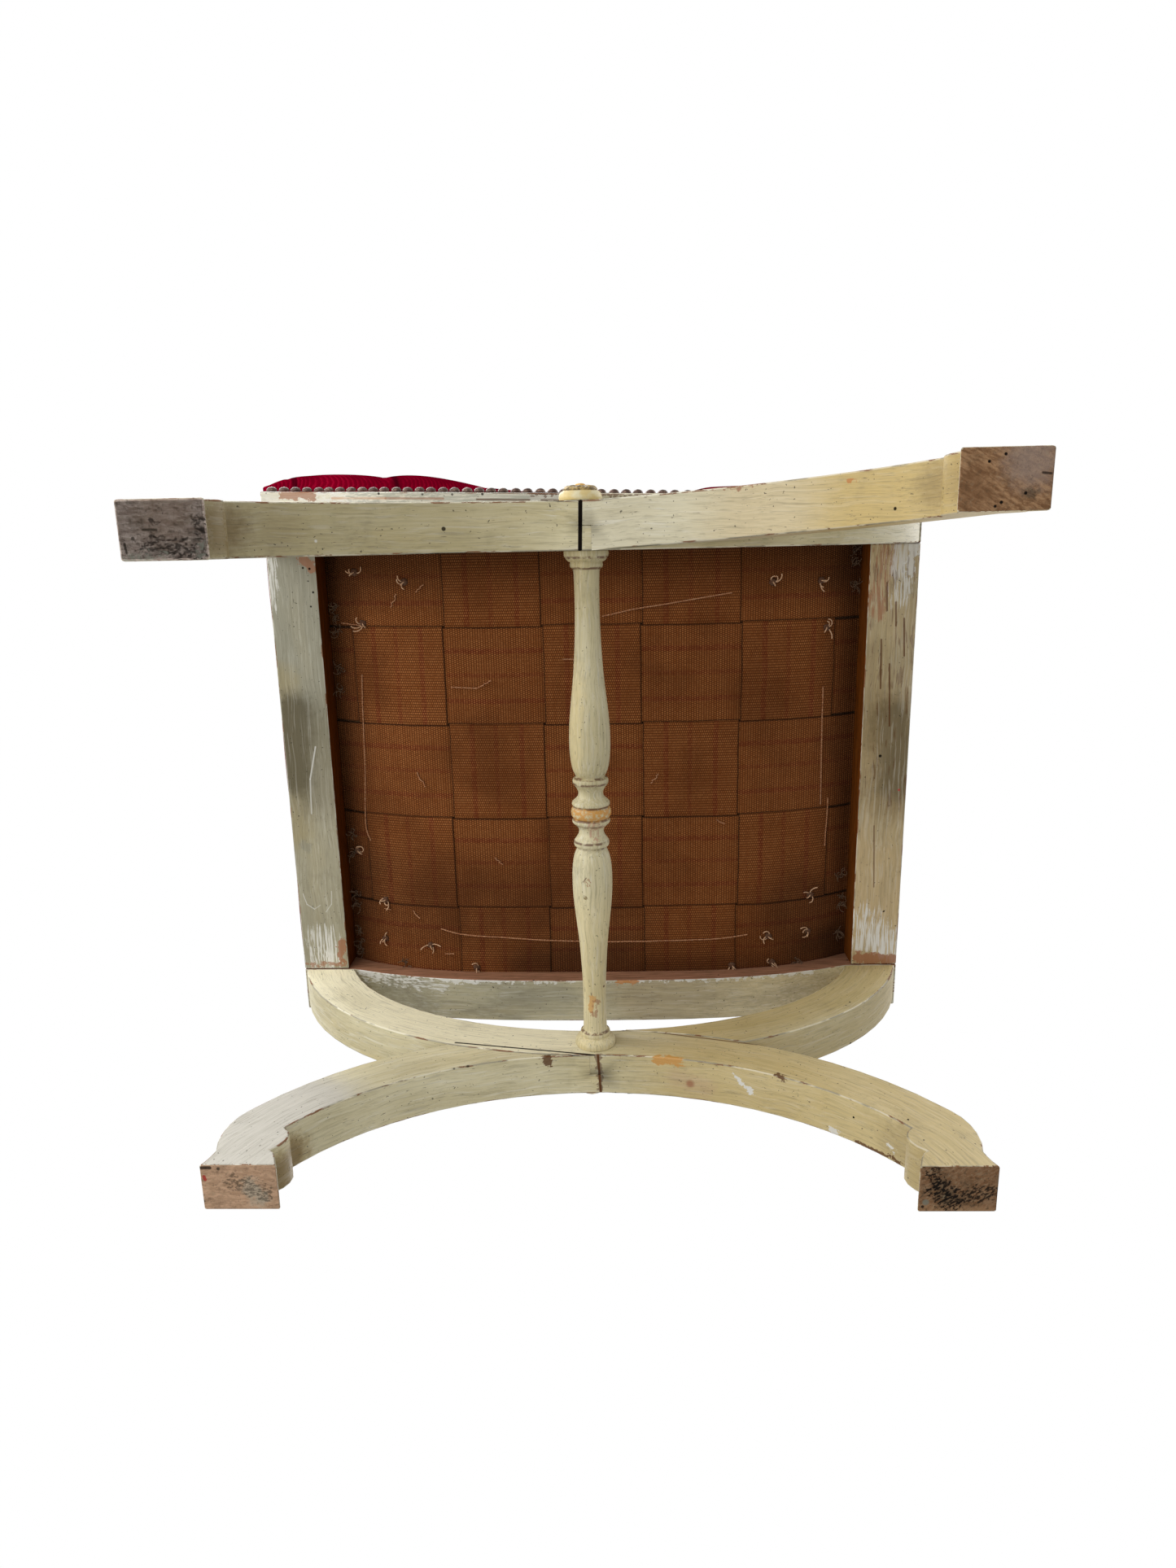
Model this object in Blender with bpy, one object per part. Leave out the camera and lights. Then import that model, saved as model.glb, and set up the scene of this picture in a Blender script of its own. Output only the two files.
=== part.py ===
"""Curule stool: two X-frames of halved S-shaped legs, a turned stretcher, a dished seat frame,
interlaced webbing and a buttoned velvet seat. Metres, +Z up, X along the seat, front at -Y.
The origin is on the floor, under the middle of the seat."""

import math

import bmesh
import bpy
from mathutils import Matrix, Vector

# Fits
GAP = 0.0003
OVERRUN = 0.004
BORE_CLEARANCE = 0.0003

# Seat frame
SEAT_WIDTH = 0.580
SIDE_RAIL_WIDTH = 0.044
SIDE_RAIL_HEIGHT = 0.030
FRONT_RAIL_THICKNESS = 0.049
BACK_RAIL_THICKNESS = 0.042
RAIL_UNDERSIDE_HEIGHT = 0.316
UNDERSIDE_DISH = 0.031
TOP_DISH = 0.040
UNDERSIDE_DISH_POWER = 3.0
TOP_DISH_POWER = 4.0
RAIL_TENON_SHOULDER = 0.008
RAIL_TENON_LENGTH = 0.010
UNDERSIDE_DISH_STEPS = 16

# X-frames
FRAME_DEPTH = 0.469
LEG_THICKNESS = 0.035
LEG_WIDTH = 0.0415
CROSSING_UNDERSIDE = 0.145
ARM_TOP_WIDTH = 0.0476
ARM_INSET = 0.002
ARM_TENON_SHOULDER = 0.012
ARM_TENON_LENGTH = 0.015
ARM_CURVE_SHARE = 1.378
ARCH_CURVE_SHARE = 1.303
CURVE_STEP = math.radians(5)
SHORT_STEP_SHARE = 0.35
HALVING_STEPS = 8

# Feet
FOOT_SPREAD = 0.533
FOOT_LENGTH = 0.053
ANKLE_INNER_HEIGHT = 0.044
ANKLE_OUTER_HEIGHT = 0.0665
HEEL_REACH = 0.008
ANKLE_SETBACK = 0.0103
FOOT_CURVE_STEPS = 5
# Points of the foot's profile as shares of its length and of the inner ankle's height
HEEL_SHARES = ((-0.020, 0.864), (0.000, 0.568), (0.194, 0.398))
PLINTH_SHARES = ((0.113, 0.375), (0.075, 0.227), (0.000, 0.000))
COVE_SHARES = ((1.000, 0.000), (0.928, 0.136), (0.902, 0.386))
ANKLE_BULGE_SHARES = (1.028, 0.773)
ANKLE_PULL_SHARE = 0.22

# Two feet stand off from their places: how far to the right, and how far out from the frame.
# The front one leans from the joint, and the back one is warped, so it only strays further down.
FRONT_RIGHT_SPRING = (0.000, 0.018)
BACK_RIGHT_WARP = (0.005, 0.0025)
LEAN_POWER = 1
WARP_POWER = 3

# Turned stretcher: shares of its half length between the frames, and of its largest radius
STRETCHER_RADIUS = 0.0166
STRETCHER_SIDES = 20
STRETCHER_TENON_RADIUS = 0.009
STRETCHER_SHARES = (
    (0.000, 0.950), (0.013, 0.925), (0.024, 0.835), (0.031, 0.895), (0.041, 0.880), (0.049, 0.790),
    (0.064, 0.620), (0.083, 0.590), (0.101, 0.695), (0.113, 0.800), (0.118, 0.835), (0.129, 0.840),
    (0.137, 0.800), (0.142, 0.675), (0.151, 0.715), (0.171, 0.820), (0.201, 0.898), (0.241, 0.946),
    (0.281, 0.958), (0.331, 0.946), (0.391, 0.892), (0.461, 0.801), (0.541, 0.699), (0.627, 0.627),
    (0.727, 0.572), (0.832, 0.560), (0.912, 0.578), (0.934, 0.615), (0.940, 0.711), (0.952, 0.741),
    (0.959, 0.723), (0.964, 0.830), (0.977, 0.964), (0.988, 1.000), (1.000, 0.988),
)

# Turned bosses on the outer faces of the crossings: shares of radius and of height
ROSETTE_RADIUS = 0.0166
ROSETTE_HEIGHT = 0.011
ROSETTE_SIDES = 20
ROSETTE_SHARES = (
    (0.975, 0.00), (1.000, 0.18), (0.965, 0.38), (0.880, 0.51), (0.795, 0.54), (0.795, 0.62),
    (0.632, 0.69), (0.422, 0.72), (0.253, 0.78), (0.205, 0.91), (0.096, 0.98),
)

# Webbing, hessian and hair pad: the strips are nailed on at their ends by the two laps, the
# outermost long strips stand off from the side rails, and the outermost cross strips lie on the
# end rails
WEBBING_SLIT = 0.0025
WEBBING_THICKNESS = 0.0014
WEBBING_STRIPS = 5
WEBBING_SIDE_LAP = 0.032
WEBBING_END_LAP = 0.034
LONG_STRIP_STANDOFF = 0.02475
CROSS_STRIP_OVERHANG = 0.02175
HESSIAN_THICKNESS = 0.001
HESSIAN_MARGIN = 0.009
PAD_MARGIN = 0.001
PAD_MID_HEIGHT = 0.010
PAD_END_HEIGHT = 0.014

# Velvet seat: heights are above the underside of the rails
COVER_THICKNESS = 0.002
COVER_HEM = 0.009
CROWN_MID_RISE = 0.048
CROWN_END_RISE = 0.110
SHOULDER_MID_RISE = 0.019
SHOULDER_END_RISE = 0.074
SHOULDER_INSET = 0.007
CORNER_RADIUS = 0.020
FRONT_BULGE = 0.016
SIDE_BULGE = 0.009
SADDLE_END_SHARE = 0.85
BULGE_START_SHARE = 0.22
BULGE_FULL_SHARE = 0.76
BULGE_CORNER_SHARE = 0.45
SHOULDER_BULGE_SHARE = 0.5
UPPER_BULGE_SHARE = 0.85
UPPER_RING_SHARE = 0.78
WIDEST_RING_SHARE = 0.42
EDGE_LINE_SHARES = (0.45, 0.78, 1.00)
CROWN_POWER = 2.5
CROWN_END_POWER = 8.0
EDGE_ROUND_POWER = 16

# Buttons: half diamonds counted out from the middle, and what is left from the last to the edge
BUTTON_SIDE_MARGIN = 0.0675
BUTTON_END_MARGIN = 0.085
BUTTON_REACH_X = 5
BUTTON_REACH_Y = 2
LINES_PER_STEP_X = 2
LINES_PER_STEP_Y = 4
TUFT_DEPTH = 0.014
PLEAT_DEPTH = 0.009
PLEAT_FADE_SHARE = 0.6
EDGE_PLEAT_DEPTH = 0.0025
TUFT_POWER = 6
FOLD_POWER = 3
EDGE_PLEAT_POWER = 8
BUTTON_RADIUS = 0.008
BUTTON_HEIGHT = 0.0115
BUTTON_SIDES = 6
BUTTON_SHARES = ((0.00, 0.00), (1.00, 0.74), (0.76, 0.94), (0.00, 1.00))

# Sizes worked out from those above
LEG_TOP_Z = RAIL_UNDERSIDE_HEIGHT - GAP
RAIL_INNER_X = SEAT_WIDTH / 2 - SIDE_RAIL_WIDTH
RAIL_TOP_HEIGHT = RAIL_UNDERSIDE_HEIGHT + SIDE_RAIL_HEIGHT
SEAT_DEPTH = FRAME_DEPTH - 2 * LEG_THICKNESS + FRONT_RAIL_THICKNESS + BACK_RAIL_THICKNESS
FRAME_MIDDLE_Y = (FRONT_RAIL_THICKNESS - BACK_RAIL_THICKNESS) / 2
HALF_INSIDE = FRAME_DEPTH / 2 - LEG_THICKNESS
ARM_OUTER_X = SEAT_WIDTH / 2 - ARM_INSET
ARM_INNER_X = ARM_OUTER_X - ARM_TOP_WIDTH
CROSSING_TOP = CROSSING_UNDERSIDE + LEG_WIDTH
CROSSING_Z = CROSSING_UNDERSIDE + LEG_WIDTH / 2
FOOT_OUTER_X = FOOT_SPREAD / 2
FOOT_INNER_X = FOOT_OUTER_X - FOOT_LENGTH
SLITS = (WEBBING_STRIPS - 1) * WEBBING_SLIT
LONG_STRIP_WIDTH = (2 * (RAIL_INNER_X - LONG_STRIP_STANDOFF) - SLITS) / WEBBING_STRIPS
CROSS_STRIP_WIDTH = (2 * (HALF_INSIDE + CROSS_STRIP_OVERHANG) - SLITS) / WEBBING_STRIPS
CROWN_MID_HEIGHT = RAIL_UNDERSIDE_HEIGHT + CROWN_MID_RISE
CROWN_END_HEIGHT = RAIL_UNDERSIDE_HEIGHT + CROWN_END_RISE
SHOULDER_MID_HEIGHT = RAIL_UNDERSIDE_HEIGHT + SHOULDER_MID_RISE
SHOULDER_END_HEIGHT = RAIL_UNDERSIDE_HEIGHT + SHOULDER_END_RISE
BUTTON_STEP_X = (SEAT_WIDTH / 2 - BUTTON_SIDE_MARGIN) / BUTTON_REACH_X
BUTTON_STEP_Y = (SEAT_DEPTH / 2 - BUTTON_END_MARGIN) / BUTTON_REACH_Y


def clear_scene():
    for existing in list(bpy.data.objects):
        bpy.data.objects.remove(existing, do_unlink=True)


def material(name, colour, roughness, metallic=0.0):
    finish = bpy.data.materials.get(name)
    if finish is None:
        finish = bpy.data.materials.new(name)
        finish.use_nodes = True
        shader = finish.node_tree.nodes["Principled BSDF"]
        shader.inputs["Base Color"].default_value = (*colour, 1.0)
        shader.inputs["Roughness"].default_value = roughness
        shader.inputs["Metallic"].default_value = metallic
    return finish


def painted_wood(name):
    return material(name, (0.66, 0.60, 0.40), 0.55)


def bare_wood(name):
    return material(name, (0.36, 0.19, 0.09), 0.75)


def link_object(name, mesh, finish):
    piece = bpy.data.objects.new(name, mesh)
    bpy.context.scene.collection.objects.link(piece)
    mesh.materials.append(finish)
    return piece


def finish_mesh(name, bm, finish, smooth_angle=None):
    bmesh.ops.recalc_face_normals(bm, faces=bm.faces)
    mesh = bpy.data.meshes.new(name)
    bm.to_mesh(mesh)
    bm.free()
    if smooth_angle is not None:
        mesh.shade_smooth()
        mesh.set_sharp_from_angle(angle=smooth_angle)
    return link_object(name, mesh, finish)


def cut_away(piece, cutters):
    """Subtracts each cutter from the piece and keeps the result as its own mesh."""
    for cutter in cutters:
        cutter.hide_render = True
        cutter.display_type = "WIRE"
        cut = piece.modifiers.new("cut", "BOOLEAN")
        cut.operation = "DIFFERENCE"
        cut.solver = "EXACT"
        cut.object = cutter
    bpy.context.view_layer.update()
    evaluated = piece.evaluated_get(bpy.context.evaluated_depsgraph_get())
    result = bpy.data.meshes.new_from_object(evaluated)
    piece.modifiers.clear()
    piece.data = result
    for cutter in cutters:
        bpy.data.objects.remove(cutter, do_unlink=True)
    return piece


def box_cutter(low, high):
    bm = bmesh.new()
    bmesh.ops.create_cube(bm, size=1.0)
    size = Vector(high) - Vector(low)
    middle = (Vector(high) + Vector(low)) / 2
    bmesh.ops.transform(bm, matrix=Matrix.Translation(middle) @ Matrix.Diagonal((*size, 1.0)), verts=bm.verts)
    return finish_mesh("cutter", bm, bare_wood("cutter"))


def bore_cutter(x, z, y_low, y_high, radius):
    bm = bmesh.new()
    turn = Matrix.Rotation(math.pi / 2, 4, "X")
    place = Matrix.Translation((x, (y_low + y_high) / 2, z)) @ turn
    bmesh.ops.create_cone(
        bm, cap_ends=True, segments=STRETCHER_SIDES, radius1=radius, radius2=radius,
        depth=y_high - y_low, matrix=place,
    )
    return finish_mesh("cutter", bm, bare_wood("cutter"))


def extrude_outline(bm, outline, y_from, y_to):
    """Makes a closed slab from points in X and Z, and returns its faces."""
    base = bm.faces.new([bm.verts.new((x, y_from, z)) for x, z in outline])
    extruded = bmesh.ops.extrude_face_region(bm, geom=[base])
    moved = [item for item in extruded["geom"] if isinstance(item, bmesh.types.BMVert)]
    bmesh.ops.translate(bm, vec=(0.0, y_to - y_from, 0.0), verts=moved)
    bmesh.ops.recalc_face_normals(bm, faces=bm.faces)
    return list(bm.faces)


def tenon_from(bm, face, shoulder, length):
    """Insets a face by the shoulder and draws the tenon out along the face's normal."""
    normal = face.normal.copy()
    bmesh.ops.inset_region(bm, faces=[face], thickness=shoulder, use_even_offset=True)
    drawn = bmesh.ops.extrude_face_region(bm, geom=[face])
    moved = [item for item in drawn["geom"] if isinstance(item, bmesh.types.BMVert)]
    bmesh.ops.translate(bm, vec=normal * length, verts=moved)
    bmesh.ops.delete(bm, geom=[face], context="FACES")


def bezier(points, steps):
    """Points along the curve that a row of control points draws, without the first of them."""
    degree = len(points) - 1
    out = []
    for step in range(1, steps + 1):
        t = step / steps
        weights = [math.comb(degree, k) * t ** k * (1 - t) ** (degree - k) for k in range(degree + 1)]
        out.append(tuple(sum(w * p[axis] for w, p in zip(weights, points)) for axis in (0, 1)))
    return out


class Ellipse:
    """An ellipse about X = 0, met by one half of a leg: up is +1 for the arch, -1 for the arms."""

    def __init__(self, half_width, half_height, centre_z, up):
        self.half_width = half_width
        self.half_height = half_height
        self.centre_z = centre_z
        self.up = up

    def point(self, angle, side):
        x = side * self.half_width * math.sin(angle)
        return x, self.centre_z + self.up * self.half_height * math.cos(angle)

    def angle_at(self, z):
        return math.acos(self.up * (z - self.centre_z) / self.half_height)

    def run(self, side, end_angle):
        """Points from the crossing outwards, at equal steps of angle, ending at end_angle."""
        steps = max(1, math.ceil(end_angle / CURVE_STEP - SHORT_STEP_SHARE))
        angles = [k * CURVE_STEP for k in range(steps)] + [end_angle]
        return [self.point(angle, side) for angle in angles]

    def grown(self, amount):
        return Ellipse(self.half_width + amount, self.half_height + amount, self.centre_z, self.up)


def ellipse_through(half_height, centre_z, up, x, z):
    rise = (z - centre_z) / half_height
    return Ellipse(x / math.sqrt(1 - rise * rise), half_height, centre_z, up)


def leg_curves():
    """The four edges of a leg: inside and outside of the arm, inside and outside of the arch."""
    arm_height = ARM_CURVE_SHARE * (RAIL_UNDERSIDE_HEIGHT - CROSSING_TOP)
    arm_centre = CROSSING_TOP + arm_height
    arch_height = ARCH_CURVE_SHARE * CROSSING_UNDERSIDE
    arch_centre = CROSSING_UNDERSIDE - arch_height
    arm_in = ellipse_through(arm_height, arm_centre, -1, ARM_INNER_X, LEG_TOP_Z)
    arm_out = ellipse_through(arm_height + LEG_WIDTH, arm_centre, -1, ARM_OUTER_X, LEG_TOP_Z)
    ankle_in = FOOT_INNER_X + HEEL_REACH
    ankle_out = FOOT_OUTER_X - ANKLE_SETBACK
    arch_in = ellipse_through(arch_height, arch_centre, 1, ankle_in, ANKLE_INNER_HEIGHT)
    arch_out = ellipse_through(arch_height + LEG_WIDTH, arch_centre, 1, ankle_out, ANKLE_OUTER_HEIGHT)
    return arm_in, arm_out, arch_in, arch_out


def foot_point(shares):
    return FOOT_INNER_X + shares[0] * FOOT_LENGTH, shares[1] * ANKLE_INNER_HEIGHT


def foot_profile(ankle_in, ankle_out, before_ankle_out):
    """From the inner ankle round the heel, the plinth and the cove, and up to the outer ankle."""
    heel = bezier([ankle_in] + [foot_point(s) for s in HEEL_SHARES], FOOT_CURVE_STEPS)
    plinth = bezier([heel[-1]] + [foot_point(s) for s in PLINTH_SHARES], FOOT_CURVE_STEPS - 1)
    cove = [foot_point(COVE_SHARES[0])]
    cove += bezier([foot_point(s) for s in COVE_SHARES], FOOT_CURVE_STEPS - 1)
    run = Vector(ankle_out) - Vector(before_ankle_out)
    pull = Vector(ankle_out) + run.normalized() * ANKLE_PULL_SHARE * ANKLE_OUTER_HEIGHT
    ankle = bezier([cove[-1], foot_point(ANKLE_BULGE_SHARES), tuple(pull), ankle_out], FOOT_CURVE_STEPS)
    return heel + plinth + cove + ankle[:-1]


def leg_outline(foot_side):
    """One S-shaped leg, with its foot on the given side of X = 0 and its arm on the other."""
    arm_in, arm_out, arch_in, arch_out = leg_curves()
    arm_side = -foot_side
    arm_outside = arm_out.run(arm_side, arm_out.angle_at(LEG_TOP_Z))
    arm_inside = arm_in.run(arm_side, arm_in.angle_at(LEG_TOP_Z))
    arch_inside = arch_in.run(1, arch_in.angle_at(ANKLE_INNER_HEIGHT))
    arch_outside = arch_out.run(1, arch_out.angle_at(ANKLE_OUTER_HEIGHT))
    foot = foot_profile(arch_inside[-1], arch_outside[-1], arch_outside[-2])
    lower = arch_inside[1:] + foot + arch_outside[:0:-1]
    lower = [(foot_side * x, z) for x, z in lower]
    return arm_outside[::-1] + lower + arm_inside


def halving_outline(foot_side):
    """The leg's own band through the crossing, a gap larger all round."""
    arm_in, arm_out, arch_in, arch_out = leg_curves()
    reach = HALVING_STEPS * CURVE_STEP
    arm_side = -foot_side
    under_arm = arm_out.grown(GAP).run(arm_side, reach)
    over_arm = arm_in.grown(-GAP).run(arm_side, reach)
    under_arch = arch_in.grown(-GAP).run(foot_side, reach)
    over_arch = arch_out.grown(GAP).run(foot_side, reach)
    return under_arm[::-1] + under_arch[1:] + over_arch[:0:-1] + over_arm


def spring_leg(piece, foot_side, shift, power):
    """Leans the foot half of a leg over, more the further it is from the crossing; the foot stays square."""
    way = Vector((foot_side * FOOT_INNER_X, 0.0, -CROSSING_Z))
    length = way.length
    way.normalize()
    start = ROSETTE_RADIUS + GAP
    origin = Vector((0.0, 0.0, CROSSING_Z)) + way * start
    bm = bmesh.new()
    bm.from_mesh(piece.data)
    bmesh.ops.triangulate(bm, faces=bm.faces)
    whole = list(bm.verts) + list(bm.edges) + list(bm.faces)
    bmesh.ops.bisect_plane(bm, geom=whole, plane_co=origin, plane_no=way)
    for vertex in bm.verts:
        along = (vertex.co - origin).dot(way) / (length - start)
        vertex.co += Vector(shift) * min(max(along, 0.0), 1.0) ** power
    bmesh.ops.triangulate(bm, faces=bm.faces)
    bm.to_mesh(piece.data)
    bm.free()


def make_leg(name, outward, foot_side, keeps_inside):
    """A leg of the front (outward -1) or back (+1) frame. keeps_inside: whole on the inner face."""
    inner_y = FRAME_MIDDLE_Y + outward * HALF_INSIDE
    outer_y = inner_y + outward * LEG_THICKNESS
    middle_y = (inner_y + outer_y) / 2
    bm = bmesh.new()
    extrude_outline(bm, leg_outline(foot_side), inner_y, outer_y)
    bm.faces.ensure_lookup_table()
    top = max(bm.faces, key=lambda face: face.calc_center_median().z if abs(face.normal.z) > 0.9 else 0.0)
    tenon_from(bm, top, ARM_TENON_SHOULDER, ARM_TENON_LENGTH)
    leg = finish_mesh(name, bm, painted_wood(name + "_paint"))

    if keeps_inside:
        halving = (middle_y - outward * GAP / 2, outer_y + outward * OVERRUN)
    else:
        halving = (inner_y - outward * OVERRUN, middle_y + outward * GAP / 2)
    cutter = bmesh.new()
    extrude_outline(cutter, halving_outline(-foot_side), *halving)
    ends = sorted((inner_y - outward * OVERRUN, outer_y + outward * OVERRUN))
    bore = bore_cutter(0.0, CROSSING_Z, *ends, STRETCHER_TENON_RADIUS + BORE_CLEARANCE)
    return cut_away(leg, [finish_mesh("cutter", cutter, bare_wood("cutter")), bore])


def make_legs():
    make_leg("front_left_leg", -1, -1, keeps_inside=True)
    make_leg("back_left_leg", 1, -1, keeps_inside=False)
    front = make_leg("front_right_leg", -1, 1, keeps_inside=False)
    right, out = FRONT_RIGHT_SPRING
    spring_leg(front, 1, (right, -out, 0.0), LEAN_POWER)
    back = make_leg("back_right_leg", 1, 1, keeps_inside=True)
    right, out = BACK_RIGHT_WARP
    spring_leg(back, 1, (right, out, 0.0), WARP_POWER)


def rail_under(x):
    """Underside of a dished end rail: level over the arms, lowest in the middle."""
    share = min(abs(x) / ARM_INNER_X, 1.0)
    return RAIL_UNDERSIDE_HEIGHT - UNDERSIDE_DISH * (1 - share ** UNDERSIDE_DISH_POWER)


def rail_top(x):
    share = min(abs(x) / RAIL_INNER_X, 1.0)
    return RAIL_TOP_HEIGHT - TOP_DISH * (1 - share ** TOP_DISH_POWER)


def strip_middles(middle, width):
    count = WEBBING_STRIPS - 1
    return [middle + (k - count / 2) * (width + WEBBING_SLIT) for k in range(WEBBING_STRIPS)]


def across_strip(middle):
    """Four lines across one long strip's width, at which it can bend."""
    return [middle + share * LONG_STRIP_WIDTH for share in (-1 / 2, -1 / 6, 1 / 6, 1 / 2)]


def seat_lines():
    """Every X at which the webbing and what lies on it bends, out to the inside of the side rails."""
    lines = [x for middle in strip_middles(0.0, LONG_STRIP_WIDTH) for x in across_strip(middle)]
    return [-RAIL_INNER_X] + lines + [RAIL_INNER_X]


def make_end_rail(name, outward, thickness):
    half = SEAT_WIDTH / 2
    inner_y = FRAME_MIDDLE_Y + outward * HALF_INSIDE
    outer_y = inner_y + outward * thickness
    shares = [2 * k / UNDERSIDE_DISH_STEPS - 1 for k in range(UNDERSIDE_DISH_STEPS + 1)]
    under = [(share * ARM_INNER_X, rail_under(share * ARM_INNER_X)) for share in shares]
    under = [(-half, RAIL_UNDERSIDE_HEIGHT)] + under + [(half, RAIL_UNDERSIDE_HEIGHT)]
    over = [(x, rail_top(x)) for x in reversed(seat_lines())]
    over = [(half, RAIL_TOP_HEIGHT)] + over + [(-half, RAIL_TOP_HEIGHT)]
    bm = bmesh.new()
    extrude_outline(bm, under + over, inner_y, outer_y)
    rail = finish_mesh(name, bm, painted_wood(name + "_paint"))
    cutters = []
    for side in (-1, 1):
        arm_x = sorted((
            side * (ARM_INNER_X + ARM_TENON_SHOULDER - GAP),
            side * (ARM_OUTER_X - ARM_TENON_SHOULDER + GAP),
        ))
        arm_y = sorted((
            inner_y + outward * (ARM_TENON_SHOULDER - GAP),
            inner_y + outward * (LEG_THICKNESS - ARM_TENON_SHOULDER + GAP),
        ))
        cutters.append(box_cutter(
            (arm_x[0], arm_y[0], RAIL_UNDERSIDE_HEIGHT - OVERRUN),
            (arm_x[1], arm_y[1], LEG_TOP_Z + ARM_TENON_LENGTH + GAP),
        ))
        rail_x = sorted((
            side * (RAIL_INNER_X + RAIL_TENON_SHOULDER - GAP),
            side * (half - RAIL_TENON_SHOULDER + GAP),
        ))
        rail_y = sorted((inner_y - outward * OVERRUN, inner_y + outward * (RAIL_TENON_LENGTH + GAP)))
        cutters.append(box_cutter(
            (rail_x[0], rail_y[0], RAIL_UNDERSIDE_HEIGHT + RAIL_TENON_SHOULDER - GAP),
            (rail_x[1], rail_y[1], RAIL_TOP_HEIGHT - RAIL_TENON_SHOULDER + GAP),
        ))
    return cut_away(rail, cutters)


def make_side_rail(name, side):
    xs = sorted((side * RAIL_INNER_X, side * SEAT_WIDTH / 2))
    outline = [
        (xs[0], RAIL_UNDERSIDE_HEIGHT), (xs[1], RAIL_UNDERSIDE_HEIGHT),
        (xs[1], RAIL_TOP_HEIGHT), (xs[0], RAIL_TOP_HEIGHT),
    ]
    bm = bmesh.new()
    extrude_outline(bm, outline, FRAME_MIDDLE_Y - HALF_INSIDE + GAP, FRAME_MIDDLE_Y + HALF_INSIDE - GAP)
    ends = [face for face in bm.faces if abs(face.normal.y) > 0.9]
    for face in ends:
        tenon_from(bm, face, RAIL_TENON_SHOULDER, RAIL_TENON_LENGTH)
    return finish_mesh(name, bm, painted_wood(name + "_paint"))


def make_rails():
    make_end_rail("front_seat_rail", -1, FRONT_RAIL_THICKNESS)
    make_end_rail("back_seat_rail", 1, BACK_RAIL_THICKNESS)
    make_side_rail("left_side_rail", -1)
    make_side_rail("right_side_rail", 1)


def close_rings(bm, rings, sides):
    """Joins each ring of vertices to the next; a ring of one vertex is a point on the axis."""
    for first, second in zip(rings, rings[1:]):
        for k in range(sides):
            n = (k + 1) % sides
            if len(first) == 1:
                bm.faces.new((first[0], second[k], second[n]))
            elif len(second) == 1:
                bm.faces.new((first[n], first[k], second[0]))
            else:
                bm.faces.new((first[n], first[k], second[k], second[n]))


def turned(name, profile, axis_start, axis, sides, finish, smooth_angle):
    """Spins a profile of (distance along the axis, radius) points, closed on the axis at both ends."""
    bm = bmesh.new()
    across = Vector((1.0, 0.0, 0.0))
    rings = []
    for along, radius in profile:
        centre = Vector(axis_start) + Vector(axis) * along
        if radius == 0:
            rings.append([bm.verts.new(centre)])
            continue
        ring = []
        for k in range(sides):
            turn = Matrix.Rotation(2 * math.pi * k / sides, 3, Vector(axis))
            ring.append(bm.verts.new(centre + turn @ (across * radius)))
        rings.append(ring)
    close_rings(bm, rings, sides)
    return finish_mesh(name, bm, finish, smooth_angle)


def make_stretcher():
    """Baluster between the frames, with a round tenon right through each crossing."""
    half = HALF_INSIDE - GAP
    tenon_end = HALF_INSIDE + LEG_THICKNESS - GAP
    side = [(share * half, radius * STRETCHER_RADIUS) for share, radius in STRETCHER_SHARES]
    side += [(half, STRETCHER_TENON_RADIUS), (tenon_end, STRETCHER_TENON_RADIUS), (tenon_end, 0.0)]
    profile = [(-along, radius) for along, radius in reversed(side)] + side[1:]
    turned(
        "stretcher", profile, (0.0, FRAME_MIDDLE_Y, CROSSING_Z), (0.0, 1.0, 0.0), STRETCHER_SIDES,
        painted_wood("stretcher_paint"), math.radians(40),
    )


def make_rosettes():
    for name, outward in (("front_rosette", -1.0), ("back_rosette", 1.0)):
        base_y = FRAME_MIDDLE_Y + outward * (FRAME_DEPTH / 2 + GAP)
        profile = [(0.0, 0.0)]
        profile += [(height * ROSETTE_HEIGHT, radius * ROSETTE_RADIUS) for radius, height in ROSETTE_SHARES]
        profile += [(ROSETTE_HEIGHT, 0.0)]
        turned(
            name, profile, (0.0, base_y, CROSSING_Z), (0.0, outward, 0.0), ROSETTE_SIDES,
            material(name + "_gilt", (0.62, 0.50, 0.25), 0.45), math.radians(35),
        )


def make_slab(name, xs, ys, underside, thickness, finish):
    """A closed sheet over a grid of X and Y lines; underside(i, j) is its height at line i, j."""
    bm = bmesh.new()
    low = [[bm.verts.new((x, y, underside(i, j))) for j, y in enumerate(ys)] for i, x in enumerate(xs)]
    high = [[bm.verts.new(v.co + Vector((0.0, 0.0, thickness))) for v in column] for column in low]
    for i in range(len(xs) - 1):
        for j in range(len(ys) - 1):
            bm.faces.new((low[i][j], low[i][j + 1], low[i + 1][j + 1], low[i + 1][j]))
            bm.faces.new((high[i][j], high[i + 1][j], high[i + 1][j + 1], high[i][j + 1]))
    for i in range(len(xs) - 1):
        for j in (0, len(ys) - 1):
            bm.faces.new((low[i][j], low[i + 1][j], high[i + 1][j], high[i][j]))
    for j in range(len(ys) - 1):
        for i in (0, len(xs) - 1):
            bm.faces.new((low[i][j], low[i][j + 1], high[i][j + 1], high[i][j]))
    return finish_mesh(name, bm, finish)


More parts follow.
